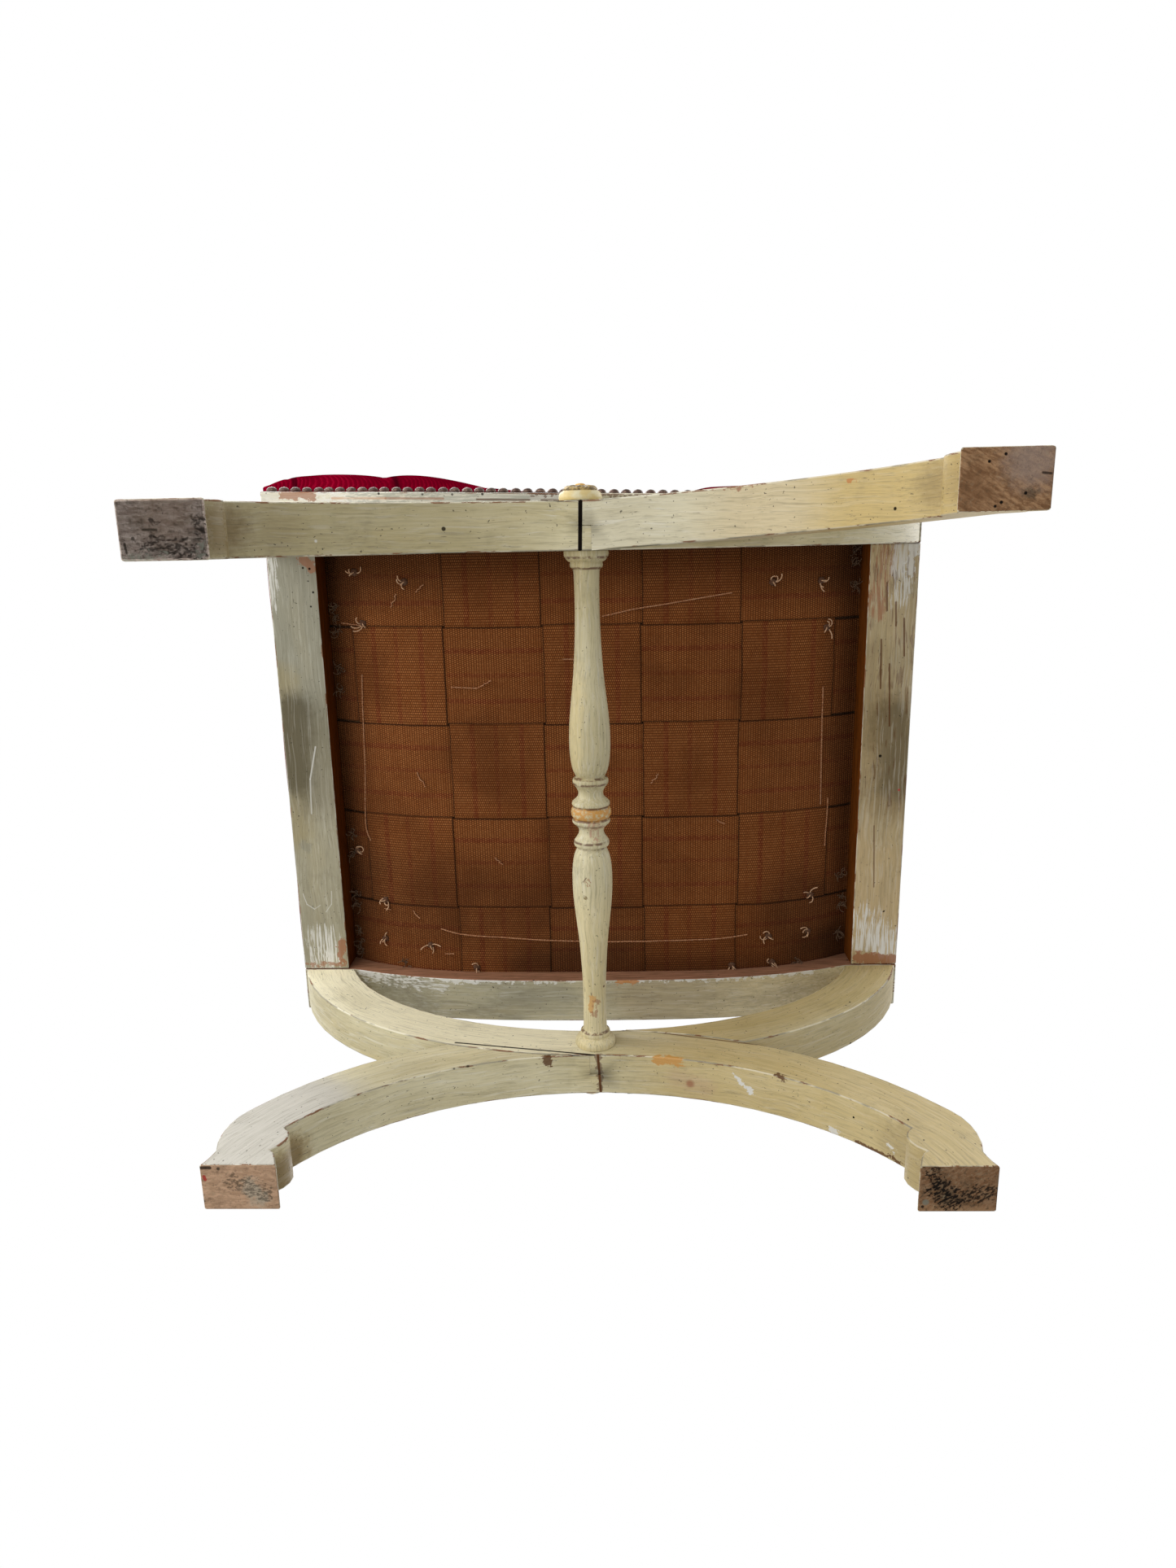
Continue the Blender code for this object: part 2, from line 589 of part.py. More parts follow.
def make_webbing():
    """Five strips each way, each passing under and over the others by turns."""
    jute = material("jute_webbing", (0.33, 0.13, 0.045), 0.9)
    step = WEBBING_THICKNESS + GAP
    columns = strip_middles(0.0, LONG_STRIP_WIDTH)
    rows = strip_middles(FRAME_MIDDLE_Y, CROSS_STRIP_WIDTH)
    half = CROSS_STRIP_WIDTH / 2
    end_x = RAIL_INNER_X + WEBBING_SIDE_LAP
    end_y = HALF_INSIDE + WEBBING_END_LAP

    for number, row in enumerate(rows):
        xs = [-end_x] + seat_lines() + [end_x]

        def cross_height(i, _, number=number, xs=xs):
            column = (i - 2) // 4
            inside = 0 <= column < WEBBING_STRIPS
            lifted = inside and (column + number) % 2 == 1
            return rail_top(xs[i]) + GAP + (step if lifted else 0.0)

        make_slab(
            "cross_webbing_%d" % (number + 1), xs, [row - half, row + half], cross_height,
            WEBBING_THICKNESS, jute,
        )

    for number, column in enumerate(columns):
        xs = across_strip(column)
        ys = [FRAME_MIDDLE_Y - end_y, rows[0] - half - WEBBING_SLIT]
        ys += [y for row in rows for y in (row - half, row + half)]
        ys += [rows[-1] + half + WEBBING_SLIT, FRAME_MIDDLE_Y + end_y]

        def long_height(i, j, number=number, xs=xs):
            row = (j - 2) // 2
            inside = 0 <= row < WEBBING_STRIPS
            lifted = inside and (row + number) % 2 == 0
            return rail_top(xs[i]) + GAP + (step if lifted else 0.0)

        make_slab("long_webbing_%d" % (number + 1), xs, ys, long_height, WEBBING_THICKNESS, jute)


def webbing_surface(x):
    """Top of both layers of webbing."""
    return rail_top(x) + GAP + 2 * (WEBBING_THICKNESS + GAP)


def make_hessian():
    end_x = SEAT_WIDTH / 2 - HESSIAN_MARGIN
    xs = [-end_x] + seat_lines() + [end_x]
    ys = [-SEAT_DEPTH / 2 + HESSIAN_MARGIN, SEAT_DEPTH / 2 - HESSIAN_MARGIN]
    make_slab(
        "hessian", xs, ys, lambda i, _: webbing_surface(xs[i]), HESSIAN_THICKNESS,
        material("hessian_cloth", (0.30, 0.20, 0.11), 0.95),
    )


def pad_floor(x):
    return webbing_surface(x) + HESSIAN_THICKNESS + GAP


def saddle(x, middle, end):
    """A height that rises smoothly from the middle of the seat to its two ends."""
    share = min(abs(x) / (SADDLE_END_SHARE * SEAT_WIDTH / 2), 1.0)
    return middle + (end - middle) * (0.5 - 0.5 * math.cos(math.pi * share))


def pad_ceiling(x):
    return pad_floor(x) + saddle(x, PAD_MID_HEIGHT, PAD_END_HEIGHT)


def cover_lines():
    """X of each line of the cover's inner ceiling, which the pad's top shares."""
    xs, _ = seat_grid_lines()
    return [x / xs[-1] * (SEAT_WIDTH / 2 + GAP) for x in xs]


def make_hair_pad():
    """First stuffing: a firm slab of hair that follows the dish."""
    end_x = SEAT_WIDTH / 2 - PAD_MARGIN
    end_y = SEAT_DEPTH / 2 - PAD_MARGIN
    under = [-end_x] + seat_lines() + [end_x]
    over = [-end_x] + cover_lines()[1:-1] + [end_x]
    outline = [(x, pad_floor(x)) for x in under] + [(x, pad_ceiling(x)) for x in reversed(over)]
    bm = bmesh.new()
    extrude_outline(bm, outline, -end_y, end_y)
    finish_mesh("hair_pad", bm, material("horse_hair", (0.12, 0.08, 0.05), 0.95))


def smooth_step(value, start, end):
    share = min(max((value - start) / (end - start), 0.0), 1.0)
    return share * share * (3 - 2 * share)


def lines_to_edge(reach, count, edge):
    """Even lines across the buttons, then a few out to the edge, from -edge to edge."""
    inner = [reach * (2 * k / count - 1) for k in range(count + 1)]
    outer = [reach + share * (edge - reach) for share in EDGE_LINE_SHARES]
    return [-line for line in reversed(outer)] + inner + outer


def seat_grid_lines():
    """X and Y lines of the seat's top, which divide each diamond into quarters."""
    edge_x = SEAT_WIDTH / 2 + COVER_THICKNESS - SHOULDER_INSET
    edge_y = SEAT_DEPTH / 2 + COVER_THICKNESS - SHOULDER_INSET
    xs = lines_to_edge(BUTTON_REACH_X * BUTTON_STEP_X, 2 * LINES_PER_STEP_X * BUTTON_REACH_X, edge_x)
    ys = lines_to_edge(BUTTON_REACH_Y * BUTTON_STEP_Y, 2 * LINES_PER_STEP_Y * BUTTON_REACH_Y, edge_y)
    return xs, ys


def tuft_drop(x, y):
    """How far the buttons and the folds between them draw the velvet down."""
    reach_x = BUTTON_REACH_X * BUTTON_STEP_X
    reach_y = BUTTON_REACH_Y * BUTTON_STEP_Y
    a = min(abs(x), reach_x) / BUTTON_STEP_X
    b = min(abs(y), reach_y) / BUTTON_STEP_Y
    one = abs(math.cos(math.pi * (a + b) / 2))
    two = abs(math.cos(math.pi * (a - b) / 2))
    fold = 1 - (1 - one ** FOLD_POWER) * (1 - two ** FOLD_POWER)
    past_x = smooth_step(abs(x), reach_x, SEAT_WIDTH / 2)
    past_y = smooth_step(abs(y), reach_y, SEAT_DEPTH / 2)
    outside = max(past_x, past_y)
    pleats = PLEAT_DEPTH * fold * (1 - PLEAT_FADE_SHARE * outside)
    return pleats + TUFT_DEPTH * (one * two) ** TUFT_POWER * (1 - outside)


def crown_height(x, y, edge_x, edge_y):
    share_x = min(abs(x) / edge_x, 1.0)
    share_y = min(abs(y) / edge_y, 1.0)
    shoulder = saddle(x, SHOULDER_MID_HEIGHT, SHOULDER_END_HEIGHT)
    crown = saddle(x, CROWN_MID_HEIGHT, CROWN_END_HEIGHT)
    rise = (1 - share_y ** CROWN_POWER) * (1 - share_x ** CROWN_END_POWER)
    return shoulder + (crown - shoulder) * rise


def seat_top(x, y, edge_x, edge_y):
    return crown_height(x, y, edge_x, edge_y) - tuft_drop(x, y)


def front_bulge(x):
    """How far the stuffing swells past the end rails: nothing in the middle, most near the ends."""
    share = abs(x) / (SEAT_WIDTH / 2)
    swell = smooth_step(share, BULGE_START_SHARE, BULGE_FULL_SHARE)
    corner = 1 - (1 - BULGE_CORNER_SHARE) * smooth_step(share, BULGE_FULL_SHARE, 1.0)
    pleat = abs(math.cos(math.pi * x / BUTTON_STEP_X / 2)) ** EDGE_PLEAT_POWER
    return FRONT_BULGE * swell * corner - EDGE_PLEAT_DEPTH * pleat * swell


def side_bulge(y):
    share = abs(y) / (SEAT_DEPTH / 2)
    corner = 1 - (1 - BULGE_CORNER_SHARE) * smooth_step(share, BULGE_FULL_SHARE, 1.0)
    pleat = abs(math.sin(math.pi * y / BUTTON_STEP_Y / 2)) ** EDGE_PLEAT_POWER
    return SIDE_BULGE * corner - EDGE_PLEAT_DEPTH * pleat


def round_corner(x, y, half_x, half_y):
    """Draws a point near the corner of a rectangle in to a round corner."""
    over_x = max(abs(x) - half_x + CORNER_RADIUS, 0.0)
    over_y = max(abs(y) - half_y + CORNER_RADIUS, 0.0)
    if over_x == 0 or over_y == 0:
        return x, y
    fit = max(over_x, over_y) / math.hypot(over_x, over_y)
    return (
        math.copysign(half_x - CORNER_RADIUS + over_x * fit, x),
        math.copysign(half_y - CORNER_RADIUS + over_y * fit, y),
    )


def edge_ring(bm, border, bulge_share, outset, height):
    """Vertices round the seat's side. border holds the shoulder's places as shares of its half sizes."""
    ring = []
    for share_x, share_y in border:
        half_x = SEAT_WIDTH / 2 + outset + bulge_share * side_bulge(share_y * SEAT_DEPTH / 2)
        half_y = SEAT_DEPTH / 2 + outset + bulge_share * front_bulge(share_x * SEAT_WIDTH / 2)
        x = share_x * half_x
        y = share_y * half_y
        if bulge_share > 0:
            x, y = round_corner(x, y, half_x, half_y)
        ring.append(bm.verts.new((x, y, height(share_x * SEAT_WIDTH / 2))))
    return ring


def top_grid(bm, xs, ys):
    """Vertices of the seat's top: its outer lines swell and round off with the edge below them."""
    grid = []
    for x in xs:
        column = []
        for y in ys:
            near_x = abs(x / xs[-1]) ** EDGE_ROUND_POWER
            near_y = abs(y / ys[-1]) ** EDGE_ROUND_POWER
            half_x = xs[-1] + SHOULDER_BULGE_SHARE * near_x * side_bulge(y)
            half_y = ys[-1] + SHOULDER_BULGE_SHARE * near_y * front_bulge(x)
            place = round_corner(x / xs[-1] * half_x, y / ys[-1] * half_y, half_x, half_y)
            column.append(bm.verts.new((*place, seat_top(x, y, xs[-1], ys[-1]))))
        grid.append(column)
    return grid


def join_rings(bm, first, second):
    count = len(first)
    for k in range(count):
        n = (k + 1) % count
        bm.faces.new((first[k], first[n], second[n], second[k]))


def make_velvet_seat():
    """Buttoned velvet with its wadding: a crowned saddle, hollow below for the pad and the rails."""
    xs, ys = seat_grid_lines()
    last_i = len(xs) - 1
    last_j = len(ys) - 1
    bm = bmesh.new()
    grid = top_grid(bm, xs, ys)
    for i in range(last_i):
        for j in range(last_j):
            bm.faces.new((grid[i][j], grid[i + 1][j], grid[i + 1][j + 1], grid[i][j + 1]))

    round_trip = [(i, 0) for i in range(last_i)] + [(last_i, j) for j in range(last_j)]
    round_trip += [(i, last_j) for i in range(last_i, 0, -1)] + [(0, j) for j in range(last_j, 0, -1)]
    border = [(xs[i] / xs[-1], ys[j] / ys[-1]) for i, j in round_trip]

    def side_height(share):
        def height(x):
            return rail_top(x) + share * (saddle(x, SHOULDER_MID_HEIGHT, SHOULDER_END_HEIGHT) - rail_top(x))
        return height

    def hem_height(x):
        return rail_under(x) + COVER_HEM

    outer = GAP + COVER_THICKNESS
    rings = [
        [grid[i][j] for i, j in round_trip],
        edge_ring(bm, border, UPPER_BULGE_SHARE, outer, side_height(UPPER_RING_SHARE)),
        edge_ring(bm, border, 1.0, outer, side_height(WIDEST_RING_SHARE)),
        edge_ring(bm, border, 0.0, outer, rail_top),
        edge_ring(bm, border, 0.0, outer, hem_height),
        edge_ring(bm, border, 0.0, GAP, hem_height),
        edge_ring(bm, border, 0.0, GAP, lambda x: pad_ceiling(x) + GAP),
    ]
    for first, second in zip(rings, rings[1:]):
        join_rings(bm, first, second)

    ceiling = rings[-1]
    front = ceiling[:last_i + 1]
    right = ceiling[last_i:last_i + last_j + 1]
    back = ceiling[last_i + last_j:2 * last_i + last_j + 1][::-1]
    left = (ceiling[2 * last_i + last_j:] + [ceiling[0]])[::-1]
    for i in range(1, last_i - 1):
        bm.faces.new((front[i], back[i], back[i + 1], front[i + 1]))
    bm.faces.new([front[1], front[0]] + left[1:-1] + [back[0], back[1]])
    bm.faces.new([back[-2], back[-1]] + right[-2:0:-1] + [front[-1], front[-2]])
    finish_mesh("velvet_seat", bm, material("red_velvet", (0.30, 0.004, 0.03), 0.8), math.radians(60))


def button_places():
    places = []
    for b in range(-BUTTON_REACH_Y, BUTTON_REACH_Y + 1):
        for a in range(-BUTTON_REACH_X, BUTTON_REACH_X + 1):
            if (a + b) % 2 == 0:
                places.append((a * BUTTON_STEP_X, b * BUTTON_STEP_Y))
    return places


def button_mesh():
    """One cloth-covered button, standing on its point at the mesh's origin."""
    bm = bmesh.new()
    rings = []
    for radius_share, height_share in BUTTON_SHARES:
        radius = radius_share * BUTTON_RADIUS
        height = height_share * BUTTON_HEIGHT
        if radius == 0:
            rings.append([bm.verts.new((0.0, 0.0, height))])
            continue
        angles = [2 * math.pi * k / BUTTON_SIDES for k in range(BUTTON_SIDES)]
        rings.append([bm.verts.new((radius * math.cos(t), radius * math.sin(t), height)) for t in angles])
    close_rings(bm, rings, BUTTON_SIDES)
    bmesh.ops.recalc_face_normals(bm, faces=bm.faces)
    mesh = bpy.data.meshes.new("velvet_button")
    bm.to_mesh(mesh)
    bm.free()
    mesh.shade_smooth()
    mesh.set_sharp_from_angle(angle=math.radians(60))
    mesh.materials.append(material("button_velvet", (0.27, 0.004, 0.03), 0.8))
    return mesh


def make_buttons():
    """Each button sits in its tuft, leaning with the crown's slope there."""
    xs, ys = seat_grid_lines()
    edges = (xs[-1], ys[-1])
    mesh = button_mesh()
    for number, (x, y) in enumerate(button_places()):
        reach = BUTTON_RADIUS
        slope_x = (crown_height(x + reach, y, *edges) - crown_height(x - reach, y, *edges)) / (2 * reach)
        slope_y = (crown_height(x, y + reach, *edges) - crown_height(x, y - reach, *edges)) / (2 * reach)
        lean = Vector((-slope_x, -slope_y, 1.0)).normalized()
        button = bpy.data.objects.new("velvet_button_%02d" % (number + 1), mesh)
        button.location = Vector((x, y, seat_top(x, y, *edges))) + lean * GAP
        button.rotation_euler = Vector((0.0, 0.0, 1.0)).rotation_difference(lean).to_euler()
        bpy.context.scene.collection.objects.link(button)


clear_scene()
make_legs()
make_rails()
make_stretcher()
make_rosettes()
make_webbing()
make_hessian()
make_hair_pad()
make_velvet_seat()
make_buttons()
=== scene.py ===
import math
import random

import bpy
from mathutils import Matrix, Vector, noise


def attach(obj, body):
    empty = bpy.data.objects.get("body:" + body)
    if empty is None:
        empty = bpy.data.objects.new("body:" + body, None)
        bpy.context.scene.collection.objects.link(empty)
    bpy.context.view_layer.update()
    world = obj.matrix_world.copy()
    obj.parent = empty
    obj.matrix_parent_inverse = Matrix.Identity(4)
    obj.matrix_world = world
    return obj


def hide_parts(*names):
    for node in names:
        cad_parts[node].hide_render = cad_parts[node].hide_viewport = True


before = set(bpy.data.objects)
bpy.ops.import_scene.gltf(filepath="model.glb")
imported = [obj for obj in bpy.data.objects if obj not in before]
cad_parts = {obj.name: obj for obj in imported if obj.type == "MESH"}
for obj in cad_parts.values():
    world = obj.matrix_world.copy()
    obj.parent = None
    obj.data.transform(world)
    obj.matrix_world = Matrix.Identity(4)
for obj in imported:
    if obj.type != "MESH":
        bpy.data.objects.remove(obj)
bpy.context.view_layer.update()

random.seed(41)

# the stool's own measures, in metres, as the frame has them
seat = {
    "halfWidth": 0.290, "halfDepth": 0.245, "middleY": 0.0035, "halfInside": 0.1995,
    "railInnerX": 0.246, "armInnerX": 0.2404, "undersideZ": 0.316, "undersideDish": 0.031,
    "railTopZ": 0.346, "topDish": 0.040, "crossingZ": 0.16575,
    # the front rail is a little askew to the legs: out at its left end, and back at its middle
    "drawnIn": 0.0033, "skew": 0.0319, "trueFrom": 0.100, "trueTo": 0.270,
}


def railUnder(x):
    share = min(abs(x) / seat["armInnerX"], 1.0)
    return seat["undersideZ"] - seat["undersideDish"] * (1 - share ** 3)


def railTop(x):
    share = min(abs(x) / seat["railInnerX"], 1.0)
    return seat["railTopZ"] - seat["topDish"] * (1 - share ** 4)


def smoothStep(value, start, end):
    share = min(max((value - start) / (end - start), 0.0), 1.0)
    return share * share * (3 - 2 * share)


def drawnIn(x):
    # how far the front rail's face, the velvet's hem and the nails stand back from a straight line
    return (seat["drawnIn"] + seat["skew"] * x) * (1 - smoothStep(x, seat["trueFrom"], seat["trueTo"]))


# small helpers for picking and finishing pieces

def pickNone():
    if bpy.context.object and bpy.context.object.mode != "OBJECT":
        bpy.ops.object.mode_set(mode="OBJECT")
    bpy.ops.object.select_all(action="DESELECT")


def pickOnly(piece):
    pickNone()
    piece.select_set(True)
    bpy.context.view_layer.objects.active = piece


def applyPlace(piece):
    pickOnly(piece)
    bpy.ops.object.transform_apply(location=True, rotation=True, scale=True)


def applyModifier(piece, kind, **settings):
    modifier = piece.modifiers.new(kind.title(), kind)
    for name, value in settings.items():
        setattr(modifier, name, value)
    pickOnly(piece)
    bpy.ops.object.modifier_apply(modifier=modifier.name)


def fixNormals(piece):
    pickOnly(piece)
    bpy.ops.object.mode_set(mode="EDIT")
    bpy.ops.mesh.select_all(action="SELECT")
    bpy.ops.mesh.remove_doubles(threshold=1e-6)
    bpy.ops.mesh.normals_make_consistent(inside=False)
    bpy.ops.object.mode_set(mode="OBJECT")


def smoothBy(piece, degrees):
    pickOnly(piece)
    bpy.ops.object.shade_smooth_by_angle(angle=math.radians(degrees))


def joinAll(pieces, name):
    pickNone()
    for piece in pieces:
        piece.select_set(True)
    bpy.context.view_layer.objects.active = pieces[0]
    bpy.ops.object.join()
    joined = bpy.context.object
    joined.name = name
    joined.data.name = name
    return joined


def dress(piece, finishes, stands=()):
    piece.data.materials.clear()
    for finish in finishes:
        piece.data.materials.append(finish)
    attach(piece, "root")
    if stands:
        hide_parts(*stands)


def tube(name, points, radius, sides):
    # a round strand through the points, made from a curve and turned into a mesh
    curve = bpy.data.curves.new(name, "CURVE")
    curve.dimensions = "3D"
    curve.bevel_depth = radius
    curve.bevel_resolution = sides // 4
    curve.use_fill_caps = True
    spline = curve.splines.new("POLY")
    spline.points.add(len(points) - 1)
    for place, point in zip(spline.points, points):
        place.co = (*point, 1.0)
    piece = bpy.data.objects.new(name, curve)
    bpy.context.scene.collection.objects.link(piece)
    pickOnly(piece)
    bpy.ops.object.convert(target="MESH")
    return bpy.context.object


# helpers for materials: every value after the tree is a number, a colour or another socket

def rgb(red, green, blue):
    # a colour as the eye reads it, 0 to 255
    def straight(value):
        value /= 255
        return value / 12.92 if value < 0.04045 else ((value + 0.055) / 1.055) ** 2.4
    return (straight(red), straight(green), straight(blue), 1.0)


def addNode(tree, kind, inputs=None, **settings):
    made = tree.nodes.new(kind)
    for name, value in settings.items():
        setattr(made, name, value)
    for name, value in (inputs or {}).items():
        if isinstance(value, bpy.types.NodeSocket):
            tree.links.new(value, made.inputs[name])
        else:
            made.inputs[name].default_value = value
    return made


def calc(tree, operation, first, second=0.5, third=None, clamp=False):
    inputs = {0: first, 1: second}
    if third is not None:
        inputs[2] = third
    return addNode(tree, "ShaderNodeMath", inputs, operation=operation, use_clamp=clamp).outputs[0]


def ranged(tree, value, low, high, newLow=0.0, newHigh=1.0):
    inputs = {"Value": value, "From Min": low, "From Max": high, "To Min": newLow, "To Max": newHigh}
    return addNode(tree, "ShaderNodeMapRange", inputs, interpolation_type="SMOOTHSTEP").outputs["Result"]


def mixed(tree, share, first, second):
    node = addNode(tree, "ShaderNodeMix", data_type="RGBA")
    for socket, value in ((node.inputs[0], share), (node.inputs[6], first), (node.inputs[7], second)):
        if isinstance(value, bpy.types.NodeSocket):
            tree.links.new(value, socket)
        else:
            socket.default_value = value
    return node.outputs[2]


def cloud(tree, vector, scale, detail=3.0, roughness=0.55, distortion=0.0):
    inputs = {
        "Vector": vector, "Scale": scale, "Detail": detail, "Roughness": roughness, "Distortion": distortion,
    }
    return addNode(tree, "ShaderNodeTexNoise", inputs, normalize=True).outputs[0]


def vectorCalc(tree, operation, first, second):
    return addNode(tree, "ShaderNodeVectorMath", {0: first, 1: second}, operation=operation)


def stretched(tree, vector, along, across, offset=(0.0, 0.0, 0.0)):
    inputs = {"Vector": vector, "Scale": (along, across, across), "Location": offset}
    return addNode(tree, "ShaderNodeMapping", inputs).outputs[0]


def bumped(tree, height, strength, distance):
    inputs = {"Height": height, "Strength": strength, "Distance": distance}
    return addNode(tree, "ShaderNodeBump", inputs).outputs[0]


def newFinish(name, **fixed):
    finish = bpy.data.materials.new(name)
    finish.use_nodes = True
    tree = finish.node_tree
    shader = tree.nodes["Principled BSDF"]
    for socket, value in fixed.items():
        shader.inputs[socket.replace("_", " ")].default_value = value
    return finish, tree, shader


def placeOf(tree):
    return addNode(tree, "ShaderNodeTexCoord").outputs["Object"]


def near(tree, place, spot, inner, outer, rough=None):
    # 1 up to the inner distance from a spot, 0 past the outer one; two spots are the ends of a line
    if isinstance(spot[0], tuple):
        start, end = Vector(spot[0]), Vector(spot[1])
        run = end - start
        offset = vectorCalc(tree, "SUBTRACT", place, start).outputs[0]
        share = vectorCalc(tree, "DOT_PRODUCT", offset, run / run.length_squared).outputs["Value"]
        share = calc(tree, "ADD", share, 0.0, clamp=True)
        foot = addNode(tree, "ShaderNodeVectorMath", {0: run, "Scale": share}, operation="SCALE").outputs[0]
        gap = vectorCalc(tree, "DISTANCE", offset, foot).outputs["Value"]
    else:
        gap = vectorCalc(tree, "DISTANCE", place, spot).outputs["Value"]
    if rough is not None:
        gap = calc(tree, "ADD", gap, rough)
    return calc(tree, "SUBTRACT", 1.0, ranged(tree, gap, inner, outer))


# camera, lights and floor
view = {"spot": (0.01947, -0.20169, -0.58093), "turn": (0.24057, 0.02618, -0.01657), "lens": 22.64}
studio = {
    "sky": 0.45,
    "floorColour": (0.88, 0.875, 0.86, 1.0), "floorSize": 4.0, "floorFull": 0.55, "floorGone": 1.5,
    # name: where, where it points, side, watts
    "lamps": {
        "keyLamp": ((-0.85, -1.45, -0.40), (0.0, 0.0, 0.15), 1.5, 12.0),
        "lowLamp": ((-0.80, -0.10, -1.05), (0.0, 0.0, 0.2), 1.1, 5.6),
        "leftLamp": ((-0.80, -0.42, 0.20), (-0.2, 0.2, 0.26), 0.35, 2.8),
        "topLamp": ((-0.80, -1.10, 1.70), (0.0, 0.0, 0.25), 1.3, 21.0),
        "sideLamp": ((1.30, -0.60, 1.10), (0.0, 0.0, 0.2), 1.2, 11.0),
        "backLamp": ((0.30, 1.50, 1.20), (0.0, 0.0, 0.3), 1.2, 10.0),
    },
}


def addCamera():
    turn = Vector(view["turn"])
    rows = Matrix.Rotation(turn.length, 3, turn.normalized())
    bpy.ops.object.camera_add()
    eye = bpy.context.object
    eye.name = "photoCamera"
    right, down, ahead = rows
    eye.matrix_world = Matrix.Translation(view["spot"]) @ Matrix((right, -down, -ahead)).transposed().to_4x4()
    eye.data.lens = view["lens"]
    eye.data.sensor_width = 36
    eye.data.clip_start = 0.01
    bpy.context.scene.camera = eye


def addLamps():
    for name, (spot, target, side, power) in studio["lamps"].items():
        bpy.ops.object.light_add(type="AREA", location=spot)
        lamp = bpy.context.object
        lamp.name = name
        lamp.rotation_euler = (Vector(target) - Vector(spot)).to_track_quat("-Z", "Y").to_euler()
        lamp.data.size = side
        lamp.data.energy = power


def addSky():
    world = bpy.data.worlds.new("paleSky")
    bpy.context.scene.world = world
    world.use_nodes = True
    tree = world.node_tree
    rays = addNode(tree, "ShaderNodeLightPath")
    seen = calc(tree, "MAXIMUM", rays.outputs["Is Camera Ray"], rays.outputs["Is Glossy Ray"])
    seen = calc(tree, "MAXIMUM", seen, rays.outputs["Is Transmission Ray"])
    sky = tree.nodes["Background"]
    sky.inputs["Color"].default_value = (1, 1, 1, 1)
    strength = calc(tree, "MULTIPLY_ADD", seen, 1.0 - studio["sky"], studio["sky"])
    tree.links.new(strength, sky.inputs["Strength"])


def addFloor():
    # a pale floor that fades away; from below, where the photograph was taken, it is clear
    bpy.ops.mesh.primitive_plane_add(size=studio["floorSize"])
    floor = bpy.context.object
    floor.name = "floor"
    finish, tree, shader = newFinish("paleFloor", Base_Color=studio["floorColour"], Roughness=0.9)
    clear = addNode(tree, "ShaderNodeBsdfTransparent")
    below = addNode(tree, "ShaderNodeNewGeometry").outputs["Backfacing"]
    close = near(tree, placeOf(tree), (0.0, 0.0, 0.0), studio["floorFull"], studio["floorGone"])
    away = calc(tree, "SUBTRACT", 1.0, close)
    share = calc(tree, "MAXIMUM", below, away)
    cover = addNode(tree, "ShaderNodeMixShader", {0: share, 1: shader.outputs[0], 2: clear.outputs[0]})
    tree.links.new(cover.outputs[0], tree.nodes["Material Output"].inputs["Surface"])
    floor.data.materials.append(finish)
    floor.visible_shadow = False
    floor.visible_diffuse = False
    floor.visible_glossy = False


bpy.context.scene.view_settings.view_transform = "Standard"
addCamera()
addLamps()
addSky()
addFloor()
print("camera, lamps and floor are in place")


# painted wood
paint = {
    "cream": rgb(218, 208, 170), "shade": rgb(196, 184, 142), "yellow": rgb(212, 190, 130),
    "white": rgb(230, 226, 210), "pale": rgb(244, 236, 203), "gesso": rgb(222, 220, 212),
    "chalk": rgb(178, 174, 164), "grey": rgb(172, 172, 156), "slate": rgb(124, 124, 110),
    "ash": rgb(158, 151, 125), "ashShade": rgb(138, 132, 106),
    "putty": rgb(190, 166, 122), "puttyShade": rgb(168, 148, 108),
    "olive": rgb(146, 130, 82), "umber": rgb(114, 92, 46), "straw": rgb(194, 166, 98),
    "grime": rgb(98, 90, 66), "soot": rgb(62, 56, 44), "black": rgb(26, 21, 17), "red": rgb(166, 56, 50),
    "wood": rgb(150, 98, 62), "oldWood": rgb(92, 58, 32), "pinkWood": rgb(186, 152, 124),
    "amber": rgb(186, 122, 58), "gold": rgb(196, 142, 66),
    "footWood": rgb(206, 190, 178), "footShade": rgb(156, 138, 127),
    "tan": rgb(200, 164, 134), "tanShade": rgb(170, 138, 110),
    "brown": rgb(174, 136, 100), "brownShade": rgb(124, 90, 62), "darkBrown": rgb(146, 116, 88),
    "roughness": 0.50, "arris": 0.0013, "wormHole": 0.055, "wormCell": 62.0, "sway": (0.0, 0.006, 0.006),
    "insideDirt": 0.12, "insideWorms": 0.3,
}

# half width, half height and middle height of the leg's curve through the arch and then its arm's,
# and which way up and along each is taken
legCurves = ((0.2711, 0.2097, -0.0439, 1.0, 1.0), (0.2728, 0.1992, 0.3650, -1.0, -1.0))


